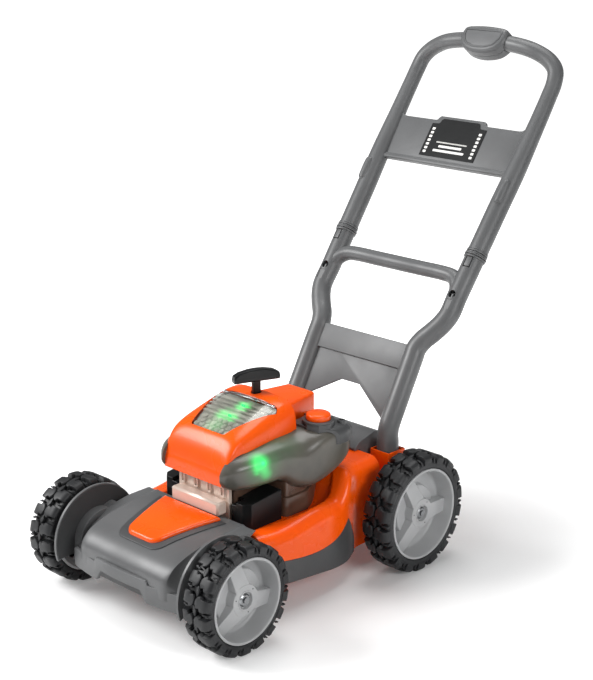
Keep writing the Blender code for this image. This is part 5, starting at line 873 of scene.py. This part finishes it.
def tail_plan(margin):
    """Plan of the block behind the hood."""
    return grown(rounded(mirrored([(0.0350, 0.1560, 0.0), (0.0210, 0.2250, 0.004)]), 4), margin)


def hood_cutters():
    """Shapes that keep other pieces clear of the hood and the block behind it."""
    return [hood_form(GAP, HOOD_FEET), prism(tail_plan(GAP), 0.164, 0.1985)]


def window_plan(margin):
    """Plan of the hood's window."""
    return grown(rounded(mirrored([(0.0262, 0.0780, 0.004), (0.0468, 0.1372, 0.003), (0.0425, 0.1430, 0.0015)]), 5),
                 -margin)


def hood_slope(y):
    """Height of the hood's crown."""
    return level([(arch[3], arch[4]) for arch in HOOD_ARCHES[2:]], y)


def make_hood():
    """Glossy hood with its tail block, smoky window, silver bar and the mouldings seen through the window."""
    hood = carved(hood_form(0.0, HOOD_FEET), [prism(tail_plan(0.0), 0.1760, 0.1985, bevel=0.0030)], "UNION")
    hood = carved(hood, [hood_form(-HOOD_WALL, 0.012), prism(tail_plan(-HOOD_WALL), 0.166, 0.1961),
                         prism(window_plan(0.0), *CROWN), post((0.0, STARTER_Y), *CROWN, 0.0062)])
    standing("hood_look", hood, ORANGE, ["hood"], 30.0, 0.0005, 3)
    pane = carved(prism(window_plan(GAP), *CROWN), [hood_form(-0.0008, 0.012)], "INTERSECT")
    standing("window_look", carved(pane, [hood_form(-HOOD_WALL, 0.014)]), WINDOW, ["hood_window"], 30.0)

    floor = prism(window_plan(0.0010), -0.0076, -0.0062)
    shapes = [lifted(sliced(floor, 1, [0.079 + 0.0054 * step for step in range(1, 12)]), hood_slope)]
    for y, deep in ((0.1325, 0.0030), (0.1255, 0.0022), (0.1190, 0.0022), (0.1120, 0.0030), (0.1050, 0.0018)):
        half = 0.026 + (y - 0.079) * 0.33
        rib = brick((-half, y - deep / 2.0, -0.0060), (half, y + deep / 2.0, -0.0034), 0.0006)
        shapes.append(lifted(rib, hood_slope))
    for row, y in enumerate((0.0850, 0.0915, 0.0980)):
        for column in range(-3, 4):
            x = (column + 0.5 * (row % 2)) * 0.0078
            if abs(x) <= 0.024 + (y - 0.079) * 0.30:
                cell = prism(oval(x, y, 0.0036, sides=6, turn=pi / 6.0), -0.0064, -0.0036, bevel=0.0008, segments=2)
                shapes.append(lifted(cell, hood_slope))
    standing("engine_top_ribs", together(*shapes), ENGINE_GREY)
    for index, y in enumerate((0.1290, 0.1085)):
        lamp = prism(oval(0.004, y, 0.0026, 0.0012, 16), hood_slope(y) - 0.0062, hood_slope(y) - 0.0030,
                     bevel=0.0008, segments=3)
        standing("engine_lamp_%d" % (index + 1), lamp, LENS)

    half, y = 0.0385, 0.1395
    z = hood_slope(y) - 0.0005
    trim = together(brick((-half, y, z - 0.0002), (half, y + 0.0024, z + 0.0012), 0.0005),
                    *[brick((side * half - 0.0015, y - 0.0006, z - 0.0008),
                            (side * half + 0.0015, y + 0.0030, z + 0.0018), 0.0006) for side in SIDES])
    for corner in trim.verts:
        corner.co.z -= 0.0022 * (corner.co.x / half) ** 4
    standing("trim_look", trim, CHROME, ["window_trim"])


def make_shroud():
    """Smoky shroud round the engine and the brown casing below it."""
    bay = brick((-0.044, 0.086, 0.102), (0.044, 0.202, 0.1796))
    mouth = brick((-0.0456, 0.043, 0.102), (0.0456, 0.080, 0.186))
    tools = [shroud_form(-SHROUD_WALL), *hood_cutters(), bay, mouth, post(TANK, 0.157, 0.187, 0.0065)]
    standing("shroud_look", carved(shroud_form(0.0), tools), SMOKE, ["engine_shroud"], 34.0, 0.0004)
    base = carved(prism(base_plan(0.0), 0.1103, 0.158), [prism(base_plan(-SHROUD_WALL), 0.106, 0.162),
                                                          shroud_form(GAP)])
    standing("base_foot", prism(base_plan(0.003), 0.0882, 0.1100, bevel=0.0008, segments=2), SMOKE_BASE, smooth=34.0)
    standing("base_look", base, SMOKE_BASE, ["engine_base"], 34.0)
    lines = [rod((0.0662, y, low), (0.0662, y + 0.62 * (high - low), high), 0.00035, 12)
             for y, low, high in ((0.1380, 0.1120, 0.1240), (0.1410, 0.1150, 0.1180), (0.1450, 0.1130, 0.1160))]
    standing("base_lines", together(*lines), WINDOW)


def make_tank():
    """Dark tank top laid over the shroud, with its faceted neck, flat ring and screw boss."""
    cap_r, stem_r = 0.0143, 0.0066      # counterbore of the fuel cap, and hole for its stem
    panel = carved(prism(rounded([(0.0390, 0.1660, 0.0), (0.0600, 0.1690, 0.004), (0.0760, 0.1780, 0.010),
                                  (0.0900, 0.1960, 0.006), (0.0900, 0.2240, 0.0), (0.0390, 0.2240, 0.0)], 5),
                         0.1610, 0.2000), [shroud_form(0.0026)], "INTERSECT")
    neck = post(TANK, 0.1700, 0.1850, 0.0205, 8, 0.0178)
    shapes = []
    for shape in (panel, neck):
        shape = carved(shape, [post(TANK, 0.1833, 0.1900, cap_r), post(TANK, 0.1500, 0.1950, stem_r)])
        shapes.append(carved(shape, [shroud_form(GAP), *hood_cutters()]))
    standing("tank_look", together(*shapes), DARK, ["tank_top"], 34.0, 0.0004)
    band = carved(post(TANK, 0.1838, 0.1864, 0.0182, 64, bevel=0.0006), [post(TANK, 0.180, 0.190, cap_r)])
    screw = (0.0760, 0.2090)
    boss = carved(post(screw, 0.1700, 0.1826, 0.0052, 40, 0.0046, 0.0006), [post(screw, 0.1790, 0.1900, 0.0026)])
    standing("tank_trim", together(band, boss), DARK)


make_deck()
make_cover()
make_hood()
make_shroud()
make_tank()


# Handle

UPPER_RUN = [(0.1020, -0.0400, 0.0000, 0.0120), (0.1035, 0.0000, 0.0000, 0.0118), (0.1042, 0.0300, 0.0000, 0.0110),
             (0.1045, 0.0600, 0.0000, 0.0102), (0.1046, 0.0850, 0.0002, 0.0098), (0.1044, 0.1060, 0.0005, 0.0096),
             (0.1040, 0.1220, 0.0010, 0.0096), (0.1010, 0.1365, 0.0035, 0.0096), (0.0930, 0.1455, 0.0070, 0.0096),
             (0.0800, 0.1520, 0.0115, 0.0096), (0.0600, 0.1562, 0.0175, 0.0096), (0.0300, 0.1592, 0.0200, 0.0096),
             (0.0000, 0.1600, 0.0210, 0.0096)]      # x, up the slope, forward, radius
KINK = [(0.0992, -0.1600), (0.0995, -0.1800), (0.0955, -0.1935), (0.0880, -0.2065), (0.0800, -0.2180),
        (0.0755, -0.2300)]
KINK_X = KINK[0][0]
JOINT_S = -0.1040           # where the upper handle's tube ends
TAB_S = -0.1175             # middle of the snaps
BORE_R = 0.0096
BOSS_LEAN = 16.0            # bosses on the upper legs, in degrees outwards from straight ahead
POD_FORWARD = 0.0205        # the grip's axis in front of the handle's plane
POD_HALF = 0.0130           # half thickness of the pod
POD_OUTLINE = [(0.0150, 0.1738), (0.0272, 0.1722), (0.0322, 0.1685), (0.0334, 0.1600),
               (0.0316, 0.1515), (0.0245, 0.1435), (0.0135, 0.1393)]
POD_INSERT = [(0.0255, 0.1655, 0.0012), (0.0252, 0.1580, 0.006), (0.0200, 0.1495, 0.009), (0.0080, 0.1455, 0.012)]


def joint_x(s):
    """Half width of the handle's joint at a distance along its slope."""
    return 0.1005 + (s - JOINT_S) * 0.0235


def on_handle(side, s):
    """Point on a joint's axis in the world."""
    return HANDLE @ Vector((side * joint_x(s), s, 0.0))


def ring(side, low, high, radius, bevel=0.0006):
    """Rounded collar on a joint's axis."""
    return rod(on_handle(side, low), on_handle(side, high), radius, 64, bevel=bevel)


def snap_block(side, half, reach, near, far, bevel=0.0):
    """Block on a joint's snap, facing outwards from straight ahead."""
    bm = brick((-half, TAB_S - reach, near), (half, TAB_S + reach, far), bevel)
    bm.transform(HANDLE @ Matrix.Translation((side * joint_x(TAB_S), 0.0, 0.0))
                 @ Matrix.Rotation(side * radians(6.0), 4, "Y"))
    return bm


def upper_bar(low_s, grow=0.0):
    """Bent bar of the upper handle from one leg over the grip to the other."""
    half = [(joint_x(low_s), low_s, 0.0, 0.0120), (joint_x(-0.08), -0.080, 0.0, 0.0120)] + UPPER_RUN
    run = [(-x, *rest) for x, *rest in half] + list(reversed(half[:-1]))
    return pipe([HANDLE @ Vector(station[:3]) for station in run], [station[3] + grow for station in run], 48)


def looped(stations):
    """Smooth closed outline through stations."""
    steps = 4
    return flowing([stations[-1], *stations, stations[0], stations[1]], steps)[steps:steps * (len(stations) + 1)]


def bore(side):
    """Bore of a lower leg for the upper handle's spigot."""
    return rod(on_handle(side, -0.1483), on_handle(side, -0.1020), BORE_R)


def recess(side):
    """Round recess in the front of a kink."""
    return prism(oval(side * KINK_X, -0.1600, 0.0050, 0.0046), 0.0062, 0.0200, HANDLE)


def up_leg(z):
    """Distance up the legs' plane to a height."""
    return (z - FOOT_Z) / cos(radians(LEG_LEAN))


def make_lower_handle():
    """Lower handle: kinked legs, crossbar swept into them, ridged sockets with a snap window, notched plate."""
    shapes = []
    for side in SIDES:
        run = [on_handle(side, s) for s in (-0.1098, -0.1280, -0.1450)]
        run += [HANDLE @ Vector((side * x, s, 0.0)) for x, s in KINK]
        foot = Vector((side * LEG_HALF, FOOT_Y, FOOT_Z))
        run += [run[-1].lerp(foot, share) for share in (0.15, 0.5, 0.85)] + [foot]
        run += [Vector((side * LEG_HALF, y, z)) for y, z in ((0.2903, 0.1520), (0.2890, 0.1430), (0.2890, 0.1330),
                                                            (0.2890, 0.0900))]
        leg = pipe(run, [0.0120] * (len(run) - 2) + [0.0126] * 2, 48)
        x = side * KINK_X
        slot = rounded([(x - 0.0034, -0.1790, 0.001), (x + 0.0034, -0.1790, 0.001), (x + 0.0040, -0.1665, 0.001),
                        (x - 0.0040, -0.1665, 0.001)])
        shapes.append(carved(leg, [bore(side), snap_block(side, 0.0047, 0.0073, 0.0046, 0.0160), recess(side),
                                   prism(slot, 0.0108, 0.0200, HANDLE)]))
        shapes.append(prism([(x - 0.0009, -0.1645), (x + 0.0009, -0.1645), (x + 0.0014, -0.1590),
                             (x - 0.0014, -0.1590)], 0.0050, 0.0098, HANDLE, bevel=0.0005))
        for low, high, radius in ((-0.1110, -0.1086, 0.0132), (-0.1080, -0.1062, 0.0136), (-0.1060, -0.1042, 0.0130)):
            shapes.append(carved(ring(side, low, high, radius),
                                 [rod(on_handle(side, -0.120), on_handle(side, -0.100), BORE_R)]))
    bend = [(-0.0990, -0.1740), (-0.0975, -0.1560), (-0.0925, -0.1440), (-0.0820, -0.1365), (-0.0660, -0.1345),
            (-0.0330, -0.1345), (0.0, -0.1345)]
    bend += [(-x, s) for x, s in reversed(bend[:-1])]
    radii = [0.0098, 0.0098, 0.0094, 0.0090, 0.0088, 0.0088, 0.0088]
    crossbar = pipe([HANDLE @ Vector((x, s, 0.0008 if abs(x) > 0.09 else 0.0)) for x, s in bend],
                    radii + radii[-2::-1], 48, 8)
    shapes.append(carved(crossbar, [hollow(side) for side in SIDES for hollow in (recess, bore)]))
    plate = [(x, up_leg(z)) for x, z in ((0.0145, 0.1850), (0.0620, 0.1580), (LEG_HALF, 0.1580), (LEG_HALF, 0.2372))]
    shapes.append(prism(mirrored(plate), -0.0015, 0.0015, LEG_PLANE, bevel=0.0005, ends="both", segments=2))
    shapes.append(prism(oblong(-0.0745, 0.0745, up_leg(0.2110), up_leg(0.2374)), -0.0010, 0.0045, LEG_PLANE,
                        bevel=0.0007, segments=3))
    standing("handle_lower_look", together(*shapes), GREY, ["handle_lower"], 34.0)


def make_upper_handle():
    """Upper handle: the bent grip, spigots and snaps at its joints, and the panel with its rolled lip."""
    shapes = [upper_bar(JOINT_S + GAP)]
    lean, boss_out = radians(BOSS_LEAN), 0.0094
    for side in SIDES:
        shapes.append(rod(on_handle(side, -0.1480), on_handle(side, -0.0940), BORE_R - GAP, 40))
        shapes.append(snap_block(side, 0.0034, 0.0061, 0.0056, 0.0116, 0.0005))
        shapes.append(ring(side, -0.1036, -0.1016, 0.0130))
        shapes.append(ring(side, -0.1010, -0.0996, 0.0125, 0.0004))
        boss = [HANDLE @ Vector((side * (joint_x(s) + boss_out * sin(lean)), s, boss_out * cos(lean)))
                for s in (-0.0425, -0.0405, -0.0370, -0.0260, -0.0150, -0.0115, -0.0095)]
        shapes.append(pipe(boss, [0.0012, 0.0042, 0.0056, 0.0060, 0.0056, 0.0042, 0.0012], 32))
        fillet = [(side * x, s) for x, s in ((0.0865, 0.0550), (0.0865, 0.0561), (0.0900, 0.0566), (0.0922, 0.0582),
                                             (0.0936, 0.0605), (0.0942, 0.0640), (0.0990, 0.0640), (0.0990, 0.0550))]
        shapes.append(prism(fillet, -0.0020, 0.0020, HANDLE, bevel=0.0006, ends="both", segments=2))
    panel = rounded(mirrored([(0.0990, -0.0030, 0.0), (0.0990, 0.0560, 0.0), (0.0380, 0.0560, 0.0030),
                              (0.0345, 0.0618, 0.0040)]), 6)
    # Panel, then its rolled lip and the step above the lip: outline, half thickness, bevel and its segments
    for outline, deep, bevel, segments in ((panel, 0.0020, 0.0007, 3),
                                           (oblong(-0.0980, 0.0980, -0.0040, 0.0012), 0.0045, 0.0020, 5),
                                           (oblong(-0.0980, 0.0980, -0.0010, 0.0030), 0.0032, 0.0010, 3)):
        shapes.append(prism(outline, -deep, deep, HANDLE, bevel=bevel, ends="both", segments=segments))
    standing("handle_upper_look", together(*shapes), GREY, ["handle_upper"], 34.0)

    label = rounded(mirrored([(0.0415, 0.0065, 0.0006), (0.0415, 0.0505, 0.0006), (0.0310, 0.0510, 0.0030),
                              (0.0285, 0.0580, 0.0040)]), 6)
    standing("label_plate_look", prism(label, 0.0023, 0.0029, HANDLE, bevel=0.0002, segments=2), FILM,
             ["label_plate"])
    marks = [oblong(side * 0.0355 - 0.0022, side * 0.0355 + 0.0022, s - 0.0016, s + 0.0016, 0.0008, 4)
             for side in SIDES for s in [0.0120 + 0.0052 * step for step in range(7)]]
    marks += [oblong(-half, half, low, high, 0.001, 4)
              for low, high, half in ((0.0135, 0.0165, 0.0235), (0.0195, 0.0225, 0.0175), (0.0255, 0.0270, 0.0235))]
    standing("label_marks", together(*[prism(mark, 0.0030, 0.0031, HANDLE) for mark in marks]), PRINT)


def make_pod():
    """Clamped box on the grip: domed front half, rear half, and the inset with its raised lip."""
    outline = looped([(0.0, 0.1744)] + POD_OUTLINE + [(0.0, 0.1378)] + [(-x, s) for x, s in reversed(POD_OUTLINE)])
    bar = upper_bar(0.0, GAP)
    for name, low, high, ends in (("pod_cover", POD_FORWARD + GAP, POD_FORWARD + POD_HALF, "high"),
                                  ("pod_base", POD_FORWARD - POD_HALF, POD_FORWARD - GAP, "low")):
        half = sliced(prism(outline, low, high, bevel=0.0062, segments=7, ends=ends), 0,
                      [0.006 * step for step in range(-4, 5)])
        half.transform(HANDLE)
        standing(name + "_look", carved(half, [bar.copy()]), GREY, [name], 34.0)
    bar.free()
    front = POD_FORWARD + POD_HALF
    inset = rounded(mirrored(POD_INSERT), 8)
    lip = carved(prism(grown(inset, 0.0019), front - 0.0010, front + 0.0009, bevel=0.0008),
                 [prism(grown(inset, GAP), front - 0.0004, front + 0.0030)])
    lip.transform(HANDLE)
    standing("pod_lip", lip, GREY)
    standing("pod_insert_look", prism(inset, front - 0.0002, front + 0.0006, HANDLE, bevel=0.0004, segments=3),
             PALE, ["pod_insert"])


make_lower_handle()
make_upper_handle()
make_pod()


# CAD nodes that keep their own shape: finish, rounding of the edges, and the nodes
DRESS = [
    (STEEL, 0.0, ["front_axle", "rear_axle", "axle_cap_front_left", "axle_cap_front_right", "axle_cap_rear_left",
                  "axle_cap_rear_right"]),
    (CHAMPAGNE, 0.0004, ["muffler_box", "muffler_plate"]), (BLACK, 0.0008, ["air_box_left", "air_box_right"]),
    (ORANGE, 0.0006, ["fuel_cap"]), (GREY, 0.0006, ["rear_door"]), (BLACK, 0.0007, ["starter_handle"]),
    (CORD, 0.0, ["starter_cord"]), (BLACK, 0.0003, ["starter_spool"]),
    (GREY, 0.0003, ["starter_frame", "recoil_case"]), (DARK, 0.0003, ["chassis_plate"]),
    (LENS, 0.0, ["led_left", "led_right"]), (BOARD, 0.0002, ["circuit_board"]), (BLACK, 0.0003, ["speaker"]),
    (CHAMPAGNE, 0.0003, ["cylinder_fins"]), (DARK, 0.0004, ["battery_tray"]), (DARK, 0.0003, ["battery_door"]),
    (CELL, 0.0003, ["battery_1", "battery_2", "battery_3"]), (BLACK, 0.0003, ["switch_body"]),
    (GREY, 0.0003, ["switch_slider"]),
]

for finish, edge_bevel, nodes in DRESS:
    for node in nodes:
        dressed(node, finish, edge_bevel)


# Camera, lights and floor

def make_camera():
    """Camera at the photograph's angle, fitted to its outlines."""
    data = bpy.data.cameras.new("studio_camera")
    data.sensor_width = 36.0
    data.lens = 81.15
    camera = bpy.data.objects.new("studio_camera", data)
    back = Vector((0.6662, -0.6854, 0.2939)).normalized()
    camera.location = (1.148505, -1.218798, 0.763175)
    camera.rotation_euler = back.to_track_quat("Z", "Y").to_euler()
    bpy.context.scene.collection.objects.link(camera)
    bpy.context.scene.camera = camera


def softbox(name, place, target, size, watts):
    """Square studio softbox."""
    data = bpy.data.lights.new(name, "AREA")
    data.shape = "SQUARE"
    data.size = size
    data.energy = watts
    lamp = bpy.data.objects.new(name, data)
    lamp.location = place
    lamp.rotation_euler = (Vector(target) - lamp.location).to_track_quat("-Z", "Y").to_euler()
    bpy.context.scene.collection.objects.link(lamp)


def seen_by(owner, *kinds):
    """1 for rays from the camera and of these kinds, which see white, and 0 for those that light the mower."""
    rays = add(owner, "ShaderNodeLightPath")
    seen = rays.outputs["Is Camera Ray"]
    for kind in kinds:
        seen = add(owner, "ShaderNodeMath", {0: seen, 1: rays.outputs["Is %s Ray" % kind]},
                   operation="MAXIMUM").outputs["Value"]
    return seen


def make_room():
    """Pale floor that keeps the shadow, white surroundings and three softboxes."""
    floor_mesh = bpy.data.meshes.new("studio_floor")
    bm = bmesh.new()
    bmesh.ops.create_grid(bm, x_segments=1, y_segments=1, size=15.0)
    bm.to_mesh(floor_mesh)
    bm.free()
    floor = bpy.data.objects.new("studio_floor", floor_mesh)
    bpy.context.scene.collection.objects.link(floor)
    paper = cleared(bpy.data.materials.new("white_paper_sweep"))
    seen = seen_by(paper, "Glossy", "Transmission")
    # Nearly bare paper within 17 cm of the middle, where the shadow falls, and pure white from 62 cm on
    place = add(paper, "ShaderNodeTexCoord").outputs["Object"]
    away = add(paper, "ShaderNodeVectorMath", {0: place}, operation="LENGTH")
    rise = add(paper, "ShaderNodeMapRange", {"Value": away.outputs["Value"], "From Min": 0.17, "From Max": 0.62,
                                             "To Min": 0.06, "To Max": 1.0}, interpolation_type="SMOOTHSTEP")
    lift = add(paper, "ShaderNodeMath", {0: seen, 1: rise.outputs["Result"]}, operation="MULTIPLY")
    sheet = add(paper, "ShaderNodeBsdfDiffuse", {"Color": linear("EDEDED")})
    shine = add(paper, "ShaderNodeEmission", {"Color": linear("FFFFFF"), "Strength": lift.outputs["Value"]})
    both = add(paper, "ShaderNodeAddShader", {0: sheet.outputs["BSDF"], 1: shine.outputs["Emission"]})
    add(paper, "ShaderNodeOutputMaterial", {"Surface": both.outputs["Shader"]})
    floor_mesh.materials.append(paper)

    world = cleared(bpy.data.worlds.new("white_studio"))
    bpy.context.scene.world = world
    glow = add(world, "ShaderNodeMapRange", {"Value": seen_by(world, "Transmission"), "To Min": 0.22, "To Max": 1.0})
    sky = add(world, "ShaderNodeBackground", {"Color": linear("FFFFFF"), "Strength": glow.outputs["Result"]})
    add(world, "ShaderNodeOutputWorld", {"Surface": sky.outputs["Background"]})

    softbox("key_softbox", (-1.15, -1.20, 1.28), (0.0, -0.05, 0.20), 0.9, 38.0)
    softbox("side_softbox", (1.70, -0.30, 0.95), (0.0, 0.0, 0.20), 0.7, 15.0)
    softbox("top_softbox", (-0.20, 0.35, 1.80), (0.0, 0.0, 0.20), 1.0, 16.0)


make_camera()
make_room()
bpy.context.scene.view_settings.view_transform = "Standard"
